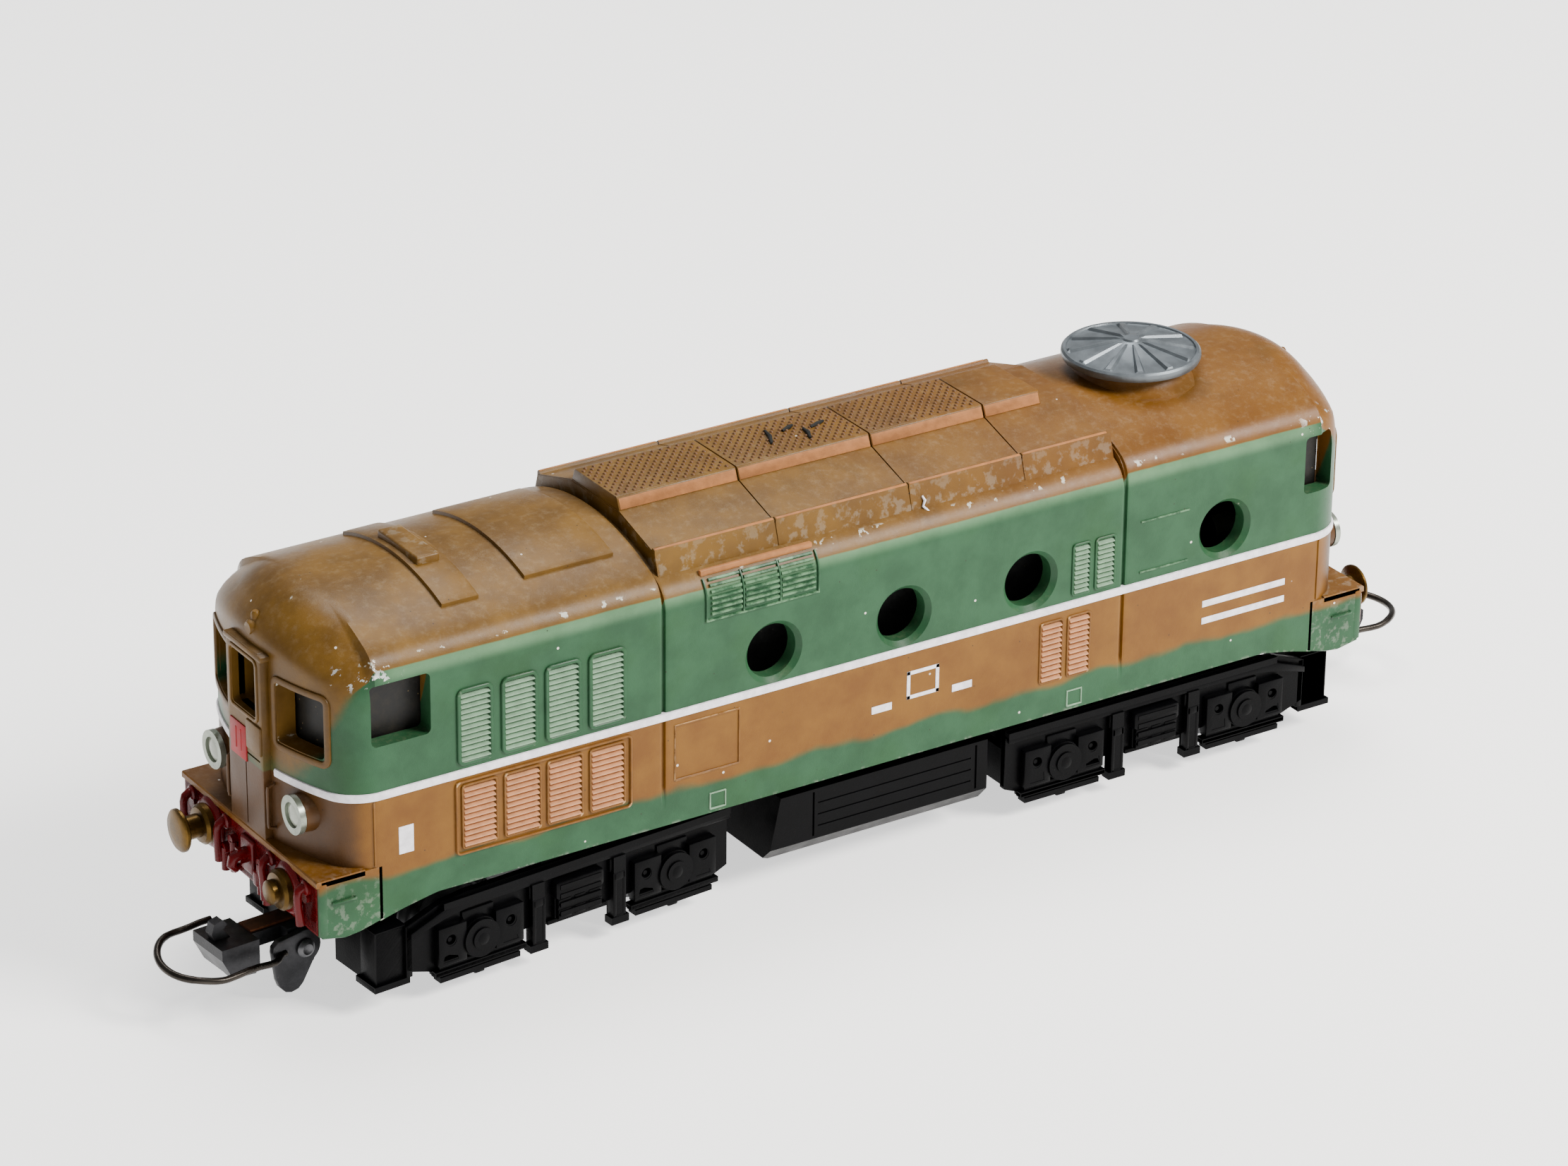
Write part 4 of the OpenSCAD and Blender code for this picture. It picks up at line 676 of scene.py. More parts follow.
# raised lines that follow the body
def side_line(m, pts, w, h):
    """pts on the side, as (x, z)."""
    P = np.array([(a, 17.0, b) for a, b in pts]); N = np.tile([0, 1.0, 0], (len(P), 1))
    v, f = ribbon(P, N, w, h, 0.3); m.both(v, f)
def roof_line(m, pts, w, h, closed=False, sub=3.0, mirror=False):
    Q = []
    k = len(pts)
    for i in range(k if closed else k - 1):
        a, b = np.array(pts[i], float), np.array(pts[(i + 1) % k], float)
        n = max(1, int(np.linalg.norm(b - a) / sub))
        for j in range(n): Q.append(a + (b - a) * j / n)
    if not closed: Q.append(np.array(pts[-1], float))
    Q = np.array(Q); P, N = roof_point(Q[:, 0], Q[:, 1])
    v, f = ribbon(P, N, w, h, 0.3, closed)
    (m.both if mirror else m.add)(v, f)
def contour(z, p0=0.0, out=0.0):
    """Outline of the body at height z on the +Y side, from the near nose to the far one."""
    f = lambda q: body_d(q[..., 0], q[..., 1], q[..., 2])
    def end(s):
        psi = np.radians(np.concatenate([np.linspace(0, 60, 40), np.linspace(61.5, 90, 24)]))
        o = np.array([s * CAPX * 0.8, 0, z]); d = np.stack([s * np.cos(psi), np.sin(psi), 0 * psi], -1)
        return cast(o, d, f, 80)
    a = end(-1); b = end(1)[::-1]
    mid = np.array([(x, HW, z) for x in np.linspace(-54, 54, 24)])
    P = np.concatenate([a, mid, b])
    P = P[P[:, 1] >= p0]
    e = 0.05
    N = np.stack([f(P + [e, 0, 0]) - f(P - [e, 0, 0]), f(P + [0, e, 0]) - f(P - [0, e, 0]), 0 * P[:, 0]], -1)
    N /= np.linalg.norm(N, axis=1)[:, None]
    return P, N

wm = M()
P, N = contour(29.8, 4.7); v, f = ribbon(P, N, 1.08, 0.26, 0.4); wm.both(v, f)
piece(wm, "waist_stripe", WHITE, LB, angle=40)

rm = M()
# eave grilles, thin blades across the shoulder
for x0, x1 in EAVE_L:
    for z in (41.9, 42.6, 43.3, 44.0, 44.7, 45.4, 46.0):
        if z > SHZ - DROP: y = SHY + math.sqrt(max(0.1, SHR ** 2 - (z + DROP - SHZ) ** 2))
        else: y = HW
        ny = (y - SHY) / SHR if z > SHZ - DROP else 1.0; nz = math.sqrt(max(0, 1 - ny * ny))
        P = np.array([(x0, y, z), (x1, y, z)], float); N = np.tile([0, ny, nz], (2, 1))
        v, f = ribbon(P, N, 0.42, 0.3, 0.3); rm.both(v, f)
    z0, z1 = 41.3, 46.2
P = []
for xx, z in [(-23.6, z) for z in np.linspace(41.3, 46.3, 10)]: P.append((xx, z))
for ex in (-23.7, -18.45, -13.2, -7.7):
    Q, NN = [], []
    for z in np.linspace(41.2, 46.2, 12):
        if z > SHZ - DROP:
            y = SHY + math.sqrt(max(0.1, SHR ** 2 - (z + DROP - SHZ) ** 2)); ny = (y - SHY) / SHR
        else: y, ny = HW, 1.0
        Q.append((ex, y, z)); NN.append((0, ny, math.sqrt(max(0, 1 - ny * ny))))
    v, f = ribbon(np.array(Q), np.array(NN), 0.3, 0.25, 0.3); rm.both(v, f)
side_line(rm, [(-23.8, 41.1), (-7.6, 41.1)], 0.32, 0.25)
for z in (38.6, 31.6):
    side_line(rm, [(40.8, z), (48.3, z)], 0.26, 0.16)
piece(rm, "side_grilles", GREEN, LB, angle=40)
hm = M()
side_line(hm, [(-28.1, 20.9), (-28.1, 28.2), (-19.0, 28.2), (-19.0, 20.9), (-28.1, 20.9)], 0.3, 0.16)
piece(hm, "hatch_line", BROWN, LB, angle=40)
jm = M()
for x in (-22.0, 31.2):
    side_line(jm, [(x - 1.1, 15.6), (x - 1.1, 17.7), (x + 1.1, 17.7), (x + 1.1, 15.6), (x - 1.1, 15.6)], 0.26, 0.14)
piece(jm, "jack_points", MINT, LB, angle=40)

# roof
ro = M()
def plate(x0, x1, yy, h=0.5):
    """Thin raised plate that follows the roof."""
    ys = np.concatenate([[-yy, -yy + 0.18], np.linspace(-yy + 0.6, yy - 0.6, 25), [yy - 0.18, yy]])
    xs = np.array([x0, x0 + 0.18, x0 + 0.6, (x0 + x1) / 2, x1 - 0.6, x1 - 0.18, x1])
    X, Y = np.meshgrid(xs, ys, indexing='ij'); P, N = roof_point(X, Y)
    hh = np.full(X.shape, h); hh[0, :] = hh[-1, :] = -0.25; hh[:, 0] = hh[:, -1] = -0.25
    hh[1, 1:-1] = hh[-2, 1:-1] = h * 0.82; hh[1:-1, 1] = hh[1:-1, -2] = h * 0.82
    V = (P + N * hh[..., None]); V[0, :, 0] = x0; a, b = X.shape
    F = [(i * b + k, (i + 1) * b + k, (i + 1) * b + k + 1, i * b + k + 1) for i in range(a - 1) for k in range(b - 1)]
    ro.add(V.reshape(-1, 3), F)
plate(-57.3, -52.0, 12.0); plate(-45.5, -32.9, 11.0)
# horn box
v, f = rbox((-56.4, -4.8, 49.9), (-53.2, 4.8, 52.65), 0.35, 3); ro.add(v, f)
# raised middle roof
def slab_line(x0, x1, pts, m, r=0.0):
    q = [(y, z) for y, z in pts]
    poly = q + [(-y, z) for y, z in q[::-1] if y > 0]
    m.add(*prism(poly, 'x', x0, x1, r))
slab = [(15.0, 45.6), (13.75, 49.8), (13.72, 50.35), (13.5, 50.5), (13.15, 50.48), (13.0, 50.2), (5.65, 52.4)]
for x0, x1 in ((G1 + 0.75, -12.0), (-11.8, 7.4), (7.6, 24.3), (24.5, G2 - 0.35)):
    slab_line(x0, x1, slab, ro, 0.0)
slab_line(G1 + 0.7, G2 - 0.3, [(14.95, 45.6), (13.6, 49.9), (5.5, 52.2)], ro)
roof = piece(ro, "roof_fittings", PAINT2, LB, angle=38)
sp = M()
for x0, x1 in ((-28.9, -12.0), (-11.8, 7.4), (7.6, 24.3), (24.5, 33.0)):
    slab_line(x0, x1, [(5.55, 52.2), (5.5, 52.5), (4.95, 53.85), (4.75, 54.0)], sp, 0.08)
piece(sp, "spine", PAINT2, LB, angle=30)
# bright worn bevel along the spine's foot
wbv = M()
for s in (-1, 1):
    for x0, x1 in ((-28.7, -12.1), (-11.7, 7.3), (7.7, 24.2), (24.6, 32.8)):
        q = [(s * 5.56, 52.5), (s * 5.02, 53.78), (s * 4.9, 53.6), (s * 5.4, 52.3)]
        wbv.add(*prism(q, 'x', x0, x1, 0.02, 1))
        q = [(s * 13.2, 50.46), (s * 13.5, 50.56), (s * 13.72, 50.42), (s * 13.5, 50.1), (s * 13.2, 50.1)]
        wbv.add(*prism(q, 'x', x0 - (0.2 if x0 < -20 else 0), x1 + (4.6 if x1 > 30 else 0), 0.05, 1))
        q = [(s * 12.0, 50.3), (s * 12.6, 50.3), (s * 12.6, 50.34), (s * 12.0, 50.5)]
for s in (-1, 1):
    wbv.add(*rbox((-23.8, min(s * 15.1, s * 15.8), 46.4), (-7.8, max(s * 15.1, s * 15.8), 47.2), 0.2))
piece(wbv, "roof_rails", ROOFW, LB, angle=40)
# tread plate on the spine: low studs
st = M()
for i in range(88):
    for k in range(14):
        if (i + k) % 2: continue
        x = -28.4 + i * 0.6; y = -4.2 + k * 0.646
        if min(abs(x + 11.9), abs(x - 7.5), abs(x - 24.4)) < 0.5 or x > 24.2: continue
        v, f = lathe([(0.3, 53.9), (0.24, 54.1), (0.1, 54.2), (0, 54.2)], (x, y, 0), 'z', 6); st.add(v, f)
piece(st, "spine_tread", TREAD, LB, angle=60)
# dark rubbed marks in the middle of the tread plate
sl = M()
for x0, y0, x1, y1 in ((-4.6, -1.6, -3.2, 2.2), (-1.4, 1.0, 0.6, 1.9), (0.4, -2.6, 1.2, 0.4), (2.2, 0.2, 4.6, 1.0)):
    v, f = tube([(x0, y0, 54.12), ((x0 + x1) / 2 + 0.2, (y0 + y1) / 2, 54.16), (x1, y1, 54.12)], [0.18, 0.3, 0.16], 8); sl.add(v, f)
piece(sl, "spine_rubs", SLOT, LB)
# chipped white scratch low on the middle roof
sc = M()
P = [(9.2, 14.15, 48.7), (9.5, 14.35, 48.1), (9.1, 14.55, 47.5), (9.7, 14.8, 46.8), (9.4, 15.3, 46.5)]
sc.add(*tube([(x, -y - 0.1, z) for x, y, z in P], [0.12, 0.2, 0.16, 0.2, 0.1], 6))
piece(sc, "roof_chip", WHITE, LB)
# fan collar
fcm = M()
v, f = lathe([(6.4, 49.0), (9.0, 49.8), (8.9, 50.6), (7.7, 51.2), (7.1, 51.9), (6.95, 52.7), (6.4, 52.75), (6.2, 50.0), (6.4, 49.0)], (FANX, 0, 0), 'z', 72); fcm.add(v, f)
piece(fcm, "fan_collar", PAINT2, LB, angle=38)

# ends: beam boxes, doors, frames, lamps
en = M(); rd = M(); sk = M(); wf = M()
for e in (-1, 1):
    def fx(v, f):
        v = np.array(v, float)
        if e > 0: v[:, 0] *= -1; f = [tuple(reversed(q)) for q in f]
        return v, f
    # block under the nose, straight across, with its bottom cut up at the middle
    # outline from above: back edge hidden inside, square front corners
    def box_part(m, a, b, r=0.1):
        v, f = rbox(a, b, r); m.add(*fx(v, f))
    for s in (-1, 1):
        pr = [(-76.69, 13.0), (-73.7, 12.4), (-71.8, 12.6), (-65.6, 14.2), (-61.5, 15.0), (-61.5, 20.3), (-76.69, 20.3)]
        xs_ = np.linspace(-76.69, -68.6, 17); V, F = [], []
        for x in xs_:
            zb = float(skirt(abs(x)))
            for y, z in ((17.0, 20.5), (17.0, (20.5 + zb) / 2), (17.0, zb + 0.15), (16.85, zb), (14.7, zb), (14.7, 20.5)): V.append((x, s * y, z))
        for i in range(16):
            for j in range(6):
                j2 = (j + 1) % 6; F.append((i * 6 + j, i * 6 + j2, (i + 1) * 6 + j2, (i + 1) * 6 + j))
        F.append(tuple(range(6))); F.append(tuple(16 * 6 + j for j in range(6)))
        sk.add(*fx(V, F))
    box_part(sk, (-76.69, -16.9, 13.2), (-74.4, 16.9, 20.2), 0.12)
    # ledge over the beam: fills from the nose arc out to the lip
    yy = np.linspace(-17.0, 17.0, 41)
    V, F = [], []
    for y in yy:
        xa = -(NC + math.sqrt(NR ** 2 - min(y * y, 15.6 ** 2))) + 2.0
        V += [(-77.4, y, 19.9), (-77.4, y, 20.55), (-77.25, y, 20.7), (xa, y, 20.7), (xa, y, 19.9)]
    for i in range(40):
        for j in range(5):
            j2 = (j + 1) % 5
            F.append((i * 5 + j, i * 5 + j2, (i + 1) * 5 + j2, (i + 1) * 5 + j))
    F.append(tuple(range(5))[::-1]); F.append(tuple(40 * 5 + j for j in range(5)))
    F = [tuple(reversed(q)) for q in F]
    en.add(*fx(V, F))
    # rounded step at the corner of the ledge
    for s in (-1, 1):
        v, f = rbox((-77.1, min(s * 16.2, s * 17.05), 13.2), (-75.9, max(s * 16.2, s * 17.05), 20.3), 0.25); sk.add(*fx(v, f))
    # door
    v, f = prism([(-4.3, 20.5), (4.3, 20.5), (4.3, 44.2), (3.6, 44.9), (-3.6, 44.9), (-4.3, 44.2)], 'x', -77.3, -75.6, 0.18)
    door = M(); door.add(v, f); dob = door.obj("d", None)
    hb = prism(rrect(-2.9, 36.2, 2.9, 43.3, 0.5), 'x', -78, -70)
    boolean(dob, cutter([hb]))
    hb = [prism(rrect(-2.5, 32.4, 2.5, 32.75, 0.12), 'x', -78, -76.9), rbox((-78, -0.12, 21.2), (-77.05, 0.12, 30.4), 0), rbox((-78, -3.6, 30.6), (-77.1, 3.6, 30.85), 0)]
    boolean(dob, cutter(hb))
    bm = bmesh.new(); bm.from_mesh(dob.data); v, f = _bm_out(bm); v = v * 1000; v[:, 0] -= SX
    en.add(*fx(v, f)); bpy.data.objects.remove(dob)
    # window frame of the door
    for r0, w, h in ((rrect(-3.3, 35.8, 3.3, 43.7, 0.7), 0.5, 0.22),):
        P = np.array([(-77.28, -a, b) for a, b in r0]); N = np.tile([-1.0, 0, 0], (len(P), 1))
        v, f = ribbon(P, N, w, h, 0.2, True); en.add(*fx(v, f))
    # lintel with rounded ends
    box_part(en, (-77.5, -4.7, 44.0), (-75.0, 4.7, 44.8), 0.3)
    # lamp boss and stub above the door
    v, f = tube([(-71.5, 0, 46.6), (-76.2, 0, 46.6), (-76.55, 0, 46.6)], [1.0, 1.0, 0.75], 20); en.add(*fx(v, f))
    v, f = tube([(-75.4, 0, 46.2), (-75.4, 0, 48.3), (-75.4, 0, 48.6)], [0.55, 0.55, 0.35], 14); en.add(*fx(v, f))
    # headlamp sockets
    for s in (-1, 1):
        v, f = lathe([(1.75, -71), (2.45, -71), (2.5, -74.0), (2.35, -75.9), (2.15, -76.05), (1.85, -76.0), (1.75, -75.5)], (0, s * 10, 26.4), 'x', 40); en.add(*fx(v, f))
        # window frame, following the nose
        ring = rrect(5.3, 33.6, 13.85, 42.3, 0.9, 5)
        Q = []
        for i in range(len(ring)):
            a, b = np.array(ring[i]), np.array(ring[(i + 1) % len(ring)])
            n = max(1, int(np.linalg.norm(b - a) / 1.0))
            for j in range(n): Q.append(a + (b - a) * j / n)
        Q = np.array(Q)
        P, N = nose_pt(-s * Q[:, 0], Q[:, 1], -1)
        if s > 0: pass
        v, f = ribbon(P, N, 0.9, 0.3, 0.4, True)
        if s > 0: f = [tuple(reversed(q)) for q in f]
        wf.add(*fx(v, f))
    # hand rails each side of the door
    for s in (-1, 1):
        v, f = tube([(-76.3, s * 5.0, 22.4), (-77.1, s * 5.0, 22.7), (-77.15, s * 5.0, 23.2), (-77.15, s * 5.0, 27.4), (-77.1, s * 5.0, 27.9), (-76.3, s * 5.0, 28.2)], 0.22, 10); en.add(*fx(v, f))
# red plate low on the near door
v, f = rbox((-77.46, -0.4, 29.4), (-77.1, 3.6, 34.0), 0.12); rd.add(v, f)
for y in (0.9, 2.1):
    v, f = rbox((-77.52, y - 0.12, 30.4), (-77.3, y + 0.12, 33.2), 0.05, 1); rd.add(v, f)
v, f = rbox((-77.6, -4.2, 31.6), (-77.1, -0.6, 35.4), 0.2); en.add(v, f)
for e in (-1, 1):
    for s in (-1, 1):
        v, f = tube([(e * 75.3, s * 16.9, 17.5), (e * 75.3, s * 17.2, 17.5), (e * 75.1, s * 17.28, 17.5), (e * 72.5, s * 17.28, 17.5), (e * 72.3, s * 17.2, 17.5), (e * 72.3, s * 16.9, 17.5)], 0.16, 8); en.add(v, f)
        P = np.array([(e * 69.5, s * 17.0, z) for z in np.linspace(20.7, 29.1, 6)]); v, f = ribbon(P, np.tile([0, float(s), 0], (6, 1)), 0.22, 0.08, 0.2); en.add(v, f)
piece(en, "end_fittings", PAINT2, LB, angle=40)
piece(sk, "end_skirts", PAINT2, LB, angle=40)
piece(wf, "windscreen_frames", ROOFP, LB, angle=40)
piece(rd, "door_plate", REDDOOR, LB)

# fan cap: ribbed shallow cone with a rim
fc = M()
n = 144; prof = [(0, 55.5), (1.0, 55.45), (1.15, 55.2), (1.5, 55.05), (2.2, 54.95), (7.95, 53.9), (8.25, 53.85), (8.35, 54.05), (8.7, 54.05), (8.95, 53.8), (9.0, 53.4), (8.8, 52.9), (8.3, 52.8), (2.0, 52.9), (0, 52.9)]
V, F = [], []
rows = []
for r, h in prof:
    if r == 0: rows.append([len(V)]); V.append((FANX, 0, h)); continue
    rows.append(list(range(len(V), len(V) + n)))
    for i in range(n):
        a = 2 * math.pi * i / n; k = 0
        if 2.1 < r < 8.1 and h > 53: k = 0.22 if (i % 12) in (0, 1, 2) else -0.1
        V.append((FANX + r * math.cos(a), r * math.sin(a), h + k))
for A, B in zip(rows[:-1], rows[1:]):
    for i in range(n):
        j = (i + 1) % n
        if len(A) == 1: F.append((A[0], B[i], B[j]))
        elif len(B) == 1: F.append((A[j], A[i], B[0]))
        else: F.append((A[i], B[i], B[j], A[j]))
fc.add(V, F)
v, f = tube([(FANX, 0, 47.7), (FANX, 0, 53.0)], 1.9, 20); fc.add(v, f)
piece(fc, "fan_cap", SILVER, LB, angle=30, stands=("roof_fan_cap",))

# ------------------------------------------------------------------ bogies
def bogie_sides(front):
    """Raised frame detail, in the bogie's own mm, for both sides."""
    m = M()
    def bx_(a, b, r=0.12): m.both(*rbox(a, b, r))
    # plate with its ramp, and the wide flat rail on top
    m.both(*prism([(-24.4, 4.8), (-24.4, 10.9), (-19.5, 12.6), (-16, 13), (22.9, 13), (22.9, 4.8), (20.6, 3.6), (8.9, 3.6), (8.9, 5.4), (-8.9, 5.4), (-8.9, 3.6), (-20.6, 3.6)], 'y', 13.4, 14.35, 0.1))
    m.both(*prism([(-24.2, 10.2), (-19.6, 11.9), (-16, 12.3), (22.9, 12.3), (22.9, 11.3), (-15.8, 11.3), (-19.4, 10.9), (-24.2, 9.3)], 'y', 14.0, 15.15, 0.14))
    for a in (-14.35, 14.35):
        # keeper strips, doubled, with a lug below the axle
        bx_((a - 6.6, 13.8, 3.25), (a + 6.6, 15.3, 3.85), 0.1)
        bx_((a - 5.9, 13.8, 3.95), (a + 5.9, 15.05, 4.5), 0.1)
        bx_((a - 5.6, 13.8, 2.3), (a - 1.2, 14.9, 2.8), 0.1)
        bx_((a + 1.2, 13.8, 2.3), (a + 5.6, 14.9, 2.8), 0.1)
        bx_((a - 5.5, 13.8, 2.5), (a - 4.7, 14.8, 3.4), 0.08); bx_((a + 4.7, 13.8, 2.5), (a + 5.5, 14.8, 3.4), 0.08)
        bx_((a - 0.75, 13.8, 1.75), (a + 0.75, 14.95, 3.6), 0.2)
        # round axle box with its domed cap
        m.both(*lathe([(0, 13.4), (2.75, 13.4), (2.75, 14.75), (2.6, 15.15), (2.2, 15.25), (1.75, 15.25), (1.65, 15.05), (1.25, 15.05), (1.15, 15.5), (0.95, 15.85), (0.5, 16.0), (0, 16.03)], (a, 0, 6.8), 'y', 48))
        # wings of the axle box, each with a round hole and a wedge slot
        for s, hx in ((-1, -4.35), (1, 4.3)):
            q = [(a + s * 2.1, 4.5), (a + s * 6.15, 4.5), (a + s * 6.15, 9.7), (a + s * 2.1, 9.7)]
            if s < 0: q = q[::-1]
            o = M(); o.add(*prism(q, 'y', 13.9, 15.45, 0.14))
            ob = o.obj("w", None)
            hx = a + hx
            c = [lathe([(0, 14.7), (0.78, 14.7), (0.78, 16.2), (0, 16.2)], (hx, 0, 7.75), 'y', 24),
                 prism([(hx - 1.2, 5.0), (hx + 1.0, 5.0), (hx + 0.9, 5.5), (hx - 1.1, 6.2)], 'y', 14.7, 16.2)]
            boolean(ob, cutter(c))
            bm = bmesh.new(); bm.from_mesh(ob.data); v, f = _bm_out(bm); v = v * 1000; v[:, 0] -= SX
            m.both(v, f); bpy.data.objects.remove(ob)
            m.both(*lathe([(0, 14.72), (0.4, 14.72), (0.4, 14.95), (0.3, 15.1), (0, 15.1)], (hx, 0, 7.75), 'y', 16))
        bx_((a - 2.3, 13.9, 8.9), (a + 2.3, 14.7, 10.6), 0.15)
    # spring block: rounded upper housing and three stepped leaves in two stacks
    bx_((-3.6, 14.0, 8.3), (3.6, 15.7, 10.7), 0.5)
    bx_((-3.4, 13.9, 5.6), (3.4, 15.0, 8.6), 0.15)
    for x0, x1 in ((-3.2, -1.3), (-0.8, 0.8), (1.3, 3.2)):
        for z in (5.7, 6.4, 7.1, 7.8): bx_((x0, 14.2, z), (x1, 15.6, z + 0.5), 0.12)
    bx_((-4.4, 13.9, 4.9), (4.4, 14.9, 5.5), 0.1)
    # slotted hangers
    for s in (-1, 1):
        x0, x1 = sorted((s * 5.0, s * 6.9))
        bx_((x0, 13.9, 2.5), (x0 + 0.5, 15.45, 9.3), 0.1); bx_((x1 - 0.5, 13.9, 2.5), (x1, 15.45, 9.3), 0.1)
        bx_((x0, 13.9, 8.2), (x1, 15.45, 9.3), 0.15); bx_((x0, 13.9, 2.3), (x1, 15.45, 3.5), 0.15)
        bx_((x0, 13.9, 2.6), (x1, 14.35, 9.3), 0.05)
        bx_((x0 - 0.2, 13.9, 9.2), (x1 + 0.2, 15.0, 11.2), 0.3)
    # end beam box with a lip below
    bx_((-28.6, 10.6, 3.95), (-24.2, 14.0, 11.15), 0.16)
    bx_((-29.0, 10.3, 3.3), (-24.0, 14.35, 4.1), 0.14)
    bx_((-24.5, 13.2, 4.0), (-23.6, 14.4, 10.9), 0.1)
    return m
for front, body, cadn in ((True, "motor_bogie", "front"), (False, "trailing_bogie", "rear")):
    piece(bogie_sides(front), cadn + "_bogie_castings", BLACK, body, place=lambda v, fr=front: bogie(v, fr), angle=32)

# ------------------------------------------------------------------ couplers
def loop(front):
    R, cx, z = 5.5, -43.8, 7.2
    tw = math.radians(9 if front else 0)
    P = [(-39.4, R, 0), (-41, R, 0), (-42.6, R, 0)]
    for a in np.linspace(90, 270, 41): P.append((cx + R * math.cos(math.radians(a)), R * math.sin(math.radians(a)), 0))
    P += [(-42.4, -R, 0), (-41, -R, 0), (-39.4, -R, 0), (-37.9, -R, 0), (-37.2, -R + 0.06, 0), (-36.6, -R + 0.3, 0), (-36.1, -R + 0.7, 0), (-35.6, -R + 1.05, 0), (-35.0, -4.42, 0)]
    P = np.array(P, float)
    y = P[:, 1].copy()
    P[:, 2] = z + y * math.sin(tw); P[:, 1] = y * math.cos(tw)
    # a little hand-bent
    P[:, 2] += 0.12 * np.sin(P[:, 0] * 0.9)
    r = np.full(len(P), 0.43); r[8:34] = 0.47
    m = M(); m.add(*tube(P, r, 14))
    # the pinched end on the drop arm
    e = P[-1]
    m.add(*lathe([(0, 0), (0.72, 0), (0.78, 0.12), (0.6, 0.3), (0, 0.34)], (e[0] + 0.3, -4.36, e[2]), 'y', 18, flip=False))
    return m
def coupler_bits(front):
    """Worn detail on the coupler head: the rivet ring."""
    m = M()
    m.add(*lathe([(0.62, 3.55), (1.25, 3.6), (1.45, 3.5), (1.75, 3.5), (1.75, 3.3), (0.62, 3.3)], (-32.4, 0, 6.4), 'y', 32, flip=True))
    return m
for front, cb, lb in ((True, "near_coupler", "near_coupler_lever"), (False, "far_coupler", "far_coupler_lever")):
    pre = "front" if front else "rear"
    pl = lambda v, fr=front: bogie(v, fr)
    piece(loop(front), pre + "_coupling_loop", LOOP, lb, place=pl, angle=50, stands=(pre + "_loop_wire",))
    # drop arm: a rounded plate, with a rounded rim
    pts = [(-33.6, 8.45), (-36.0, 8.25), (-36.75, 7.6), (-36.85, 6.8), (-36.35, 3.0), (-36.0, 2.0), (-35.2, 1.1), (-34.4, 0.85), (-33.4, 1.05), (-32.7, 1.7), (-31.3, 4.1)]
    for a in np.linspace(-62, 95, 14): pts.append((-32.4 + 2.3 * math.cos(math.radians(a)), 6.4 + 2.3 * math.sin(math.radians(a))))
    o = M(); o.add(*prism(pts, 'y', -4.4, -3.5, 0.12))
    ob = o.obj("w", None); boolean(ob, cutter([lathe([(0, -6), (0.78, -6), (0.78, -2), (0, -2)], (-32.4, 0, 6.4), 'y', 28)]))
    bm = bmesh.new(); bm.from_mesh(ob.data); v, f = _bm_out(bm); v = v * 1000; v[:, 0] -= SX
    bpy.data.objects.remove(ob)
    m = M(); m.add(v, f)
    piece(m, pre + "_drop_plate", GUN, lb, place=pl, angle=35, stands=(pre + "_drop_arm",))
    # rivet
    m = M(); m.add(*lathe([(0.6, -2.0), (0.6, -4.5), (1.15, -4.55), (1.2, -4.75), (1.0, -5.05), (0.7, -5.2), (0.45, -5.05), (0, -5.02)][::-1], (-32.4, 0, 6.4), 'y', 32))
    piece(m, pre + "_rivet", STEEL, cb, place=pl, stands=(pre + "_lever_rivet",))

# ------------------------------------------------------------------ buffer beam relief, in red
bb = M()
for e in (-1, 1):
    def fx(v, f):
        v = np.array(v, float)
        if e > 0: v[:, 0] *= -1; f = [tuple(reversed(q)) for q in f]
        return v, f
    def P_(a, b, r=0.12, seg=2): bb.add(*fx(*rbox(a, b, r, seg)))
    P_((-77.2, -16.5, 13.5), (-76.55, 16.5, 19.85), 0.15)
    for s in (-1, 1):
        # buffer seats
        bb.add(*fx(*lathe([(0, -76.9), (3.3, -76.9), (3.35, -77.3), (3.0, -77.75), (2.6, -77.9), (0, -77.9)][::-1], (0, s * 9.8, 16.9), 'x', 40)))
        # hoses, hanging from small taps
        for y, l in ((5.6, 3.0), (14.3, 2.4)):
            y = s * y
            bb.add(*fx(*tube([(-77.0, y, 18.9), (-77.9, y, 19.0), (-78.4, y, 18.7), (-78.6, y + 0.1 * s, 18.0), (-78.55, y + 0.2 * s, 16.5), (-78.3, y + 0.25 * s, 16.8 - l)], [0.55, 0.6, 0.55, 0.5, 0.48, 0.62], 12)))
            bb.add(*fx(*lathe([(0, -77.0), (0.95, -77.0), (0.95, -77.6), (0.7, -77.8), (0, -77.8)][::-1], (0, y, 18.9), 'x', 16)))
        P_((-77.7, s * 12.6 - 0.8, 14.2), (-77.0, s * 12.6 + 0.8, 16.4), 0.3)
    # hook and its plate
    P_((-77.75, -1.6, 14.6), (-77.0, 1.6, 19.2), 0.35, 3)
    bb.add(*fx(*tube([(-77.2, 0, 17.3), (-78.6, 0, 17.3), (-79.5, 0, 16.9), (-79.7, 0, 16.1), (-79.2, 0, 15.5), (-78.6, 0, 15.7)], [0.75, 0.75, 0.7, 0.62, 0.55, 0.4], 12)))
    P_((-78.2, -3.6, 14.0), (-77.0, -2.2, 16.2), 0.4, 3); P_((-78.2, 2.2, 14.0), (-77.0, 3.6, 16.2), 0.4, 3)
piece(bb, "beam_relief", RED, LB, angle=40)
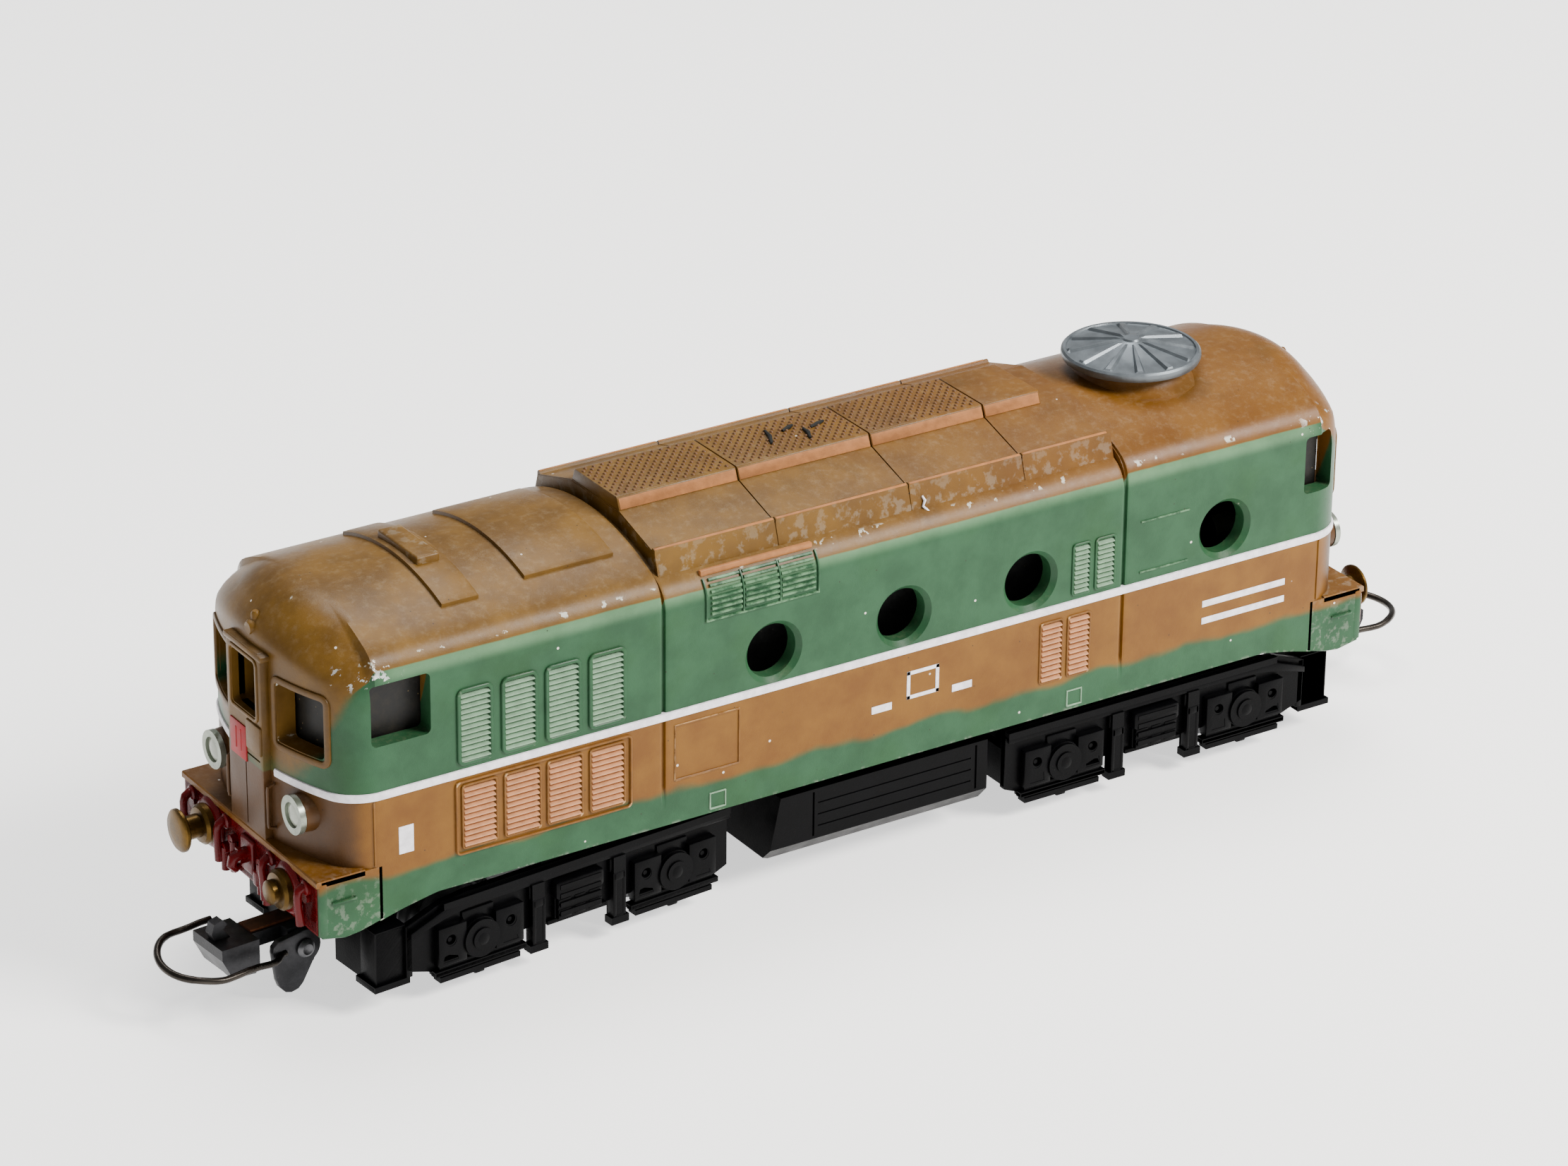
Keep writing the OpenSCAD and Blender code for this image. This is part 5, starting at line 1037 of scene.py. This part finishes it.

# buffers: heads slightly domed, with rims
bf = M()
for e in (-1, 1):
    for s in (-1, 1):
        missing = (e < 0 and s < 0)
        pr = [(0, -76.6), (2.55, -76.6), (2.55, -78.6), (2.2, -79.0), (1.5, -79.1)]
        if missing: pr += [(1.5, -79.9), (1.2, -80.15), (0, -80.2)]
        else: pr += [(1.5, -80.9), (1.7, -81.1), (2.55, -81.25), (2.75, -81.45), (2.72, -81.75), (2.5, -81.95), (1.4, -82.08), (0, -82.12)]
        v, f = lathe(pr[::-1], (0, s * 9.8, 16.9), 'x', 48)
        v = np.array(v)
        if e > 0: v[:, 0] *= -1; f = [tuple(reversed(q)) for q in f]
        bf.add(v, f)
piece(bf, "buffer_heads", BRASS, LB, angle=40, stands=("buffers",))

# ------------------------------------------------------------------ plain markings, all blank shapes
mk = M()
def side_patch(x0, x1, z0, z1, s=-1, t=0.12):
    v, f = rbox((x0, min(s * 16.8, s * (17 + t)), z0), (x1, max(s * 16.8, s * (17 + t)), z1), 0.03, 1); mk.add(v, f)
def bar(x0, x1, z0, z1): side_patch(x0, x1, z0, z1, -1, 0.06); side_patch(x0, x1, z0, z1, 1, 0.06)
bar(-66.3, -64.3, 21.4, 25.0)                      # one plain upright mark
for a, b in ((5.6, 10.4),):
    bar(a, b, 26.2, 26.7); bar(a, b, 22.9, 23.4); bar(a, a + 0.5, 22.9, 26.7); bar(b - 0.5, b, 22.9, 26.7)
bar(0.4, 3.4, 22.2, 23.2); bar(12.4, 15.4, 22.2, 23.2)
for z in (24.6, 22.2): bar(51.0, 64.2, z - 0.45, z + 0.45)
piece(mk, "plain_marks", WHITE, LB)
# ------------------------------------------------------------------ finishes on what stays from CAD
for name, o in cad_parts.items():
    for i, sl_ in enumerate(o.material_slots):
        base = sl_.material.name.split(".")[0] if sl_.material else ""
        for k, mt in LOOKS.items():
            if k in base: sl_.material = mt; break
for n in ("cab_inserts",):
    for sl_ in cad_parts[n].material_slots: sl_.material = PANEL
for n, w in (("chassis", 0.15), ("fuel_tank", 0.35), ("front_bogie_frame", 0.1), ("rear_bogie_frame", 0.1), ("front_coupler_head", 0.12), ("rear_coupler_head", 0.12)):
    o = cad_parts[n]
    b = o.modifiers.new("soft edges", 'BEVEL'); b.width = w / 1000; b.segments = 2; b.limit_method = 'ANGLE'; b.angle_limit = math.radians(40); b.use_clamp_overlap = True

# ------------------------------------------------------------------ floor, light, camera
def stage_mesh(name, V, F, mat):
    me = bpy.data.meshes.new(name); me.from_pydata(V, [], F); me.materials.append(mat)
    o = bpy.data.objects.new(name, me); bpy.context.scene.collection.objects.link(o); return o
fm = bpy.data.materials.new("pale_floor"); fm.use_nodes = True
fb = fm.node_tree.nodes["Principled BSDF"]; fb.inputs["Base Color"].default_value = (0.84, 0.83, 0.81, 1); fb.inputs["Roughness"].default_value = 0.8
fb.inputs["Specular IOR Level"].default_value = 0.1
fb.inputs["Emission Color"].default_value = (1, 1, 1, 1); fb.inputs["Emission Strength"].default_value = 1.1
stage_mesh("floor", [(-6, -6, 0), (6, -6, 0), (6, 6, 0), (-6, 6, 0)], [(0, 1, 2, 3)], fm)

w = bpy.data.worlds.new("studio"); bpy.context.scene.world = w; w.use_nodes = True
w.node_tree.nodes["Background"].inputs[0].default_value = (1.0, 1.0, 1.0, 1); w.node_tree.nodes["Background"].inputs[1].default_value = 0.4
def area(name, loc, aim, size, power, col=(1, 1, 1)):
    l = bpy.data.lights.new(name, 'AREA'); l.energy = power; l.size = size; l.color = col
    o = bpy.data.objects.new(name, l); bpy.context.scene.collection.objects.link(o)
    o.location = loc; d = Vector(aim) - Vector(loc); o.rotation_euler = d.to_track_quat('-Z', 'Y').to_euler()
    return o
area("key", (0.42, -0.50, 0.55), (0, 0, 0.02), 0.30, 15.0, (1, 0.98, 0.95))
area("top", (0.15, 0.25, 0.75), (0, 0, 0.03), 0.40, 6.0)

az, el, roll = math.radians(-33.088), math.radians(25.248), math.radians(0.577)
back = np.array([math.sin(az) * math.cos(el), -math.cos(az) * math.cos(el), math.sin(el)])
right = np.cross([0, 0, 1.0], back); right /= np.linalg.norm(right); upv = np.cross(back, right)
r0 = right * math.cos(roll) + upv * math.sin(roll); r1 = -right * math.sin(roll) + upv * math.cos(roll)
R = np.array([r0, r1, back])
pc = R.T @ np.array([-1.038, 28.448, 727.05])
pc = np.array([pc[0] + SX, pc[1], pc[2] + 2.0]) / 1000
cam = bpy.data.cameras.new("cam"); co = bpy.data.objects.new("cam", cam); bpy.context.scene.collection.objects.link(co)
cam.sensor_width = 36; cam.sensor_fit = 'HORIZONTAL'; cam.lens = 36 * 8109.6 / 2222
cam.clip_start = 0.05; cam.clip_end = 20
mw = Matrix.Identity(4)
for i in range(3):
    mw[i][0], mw[i][1], mw[i][2], mw[i][3] = float(r0[i]), float(r1[i]), float(back[i]), float(pc[i])
co.matrix_world = mw
bpy.context.scene.camera = co

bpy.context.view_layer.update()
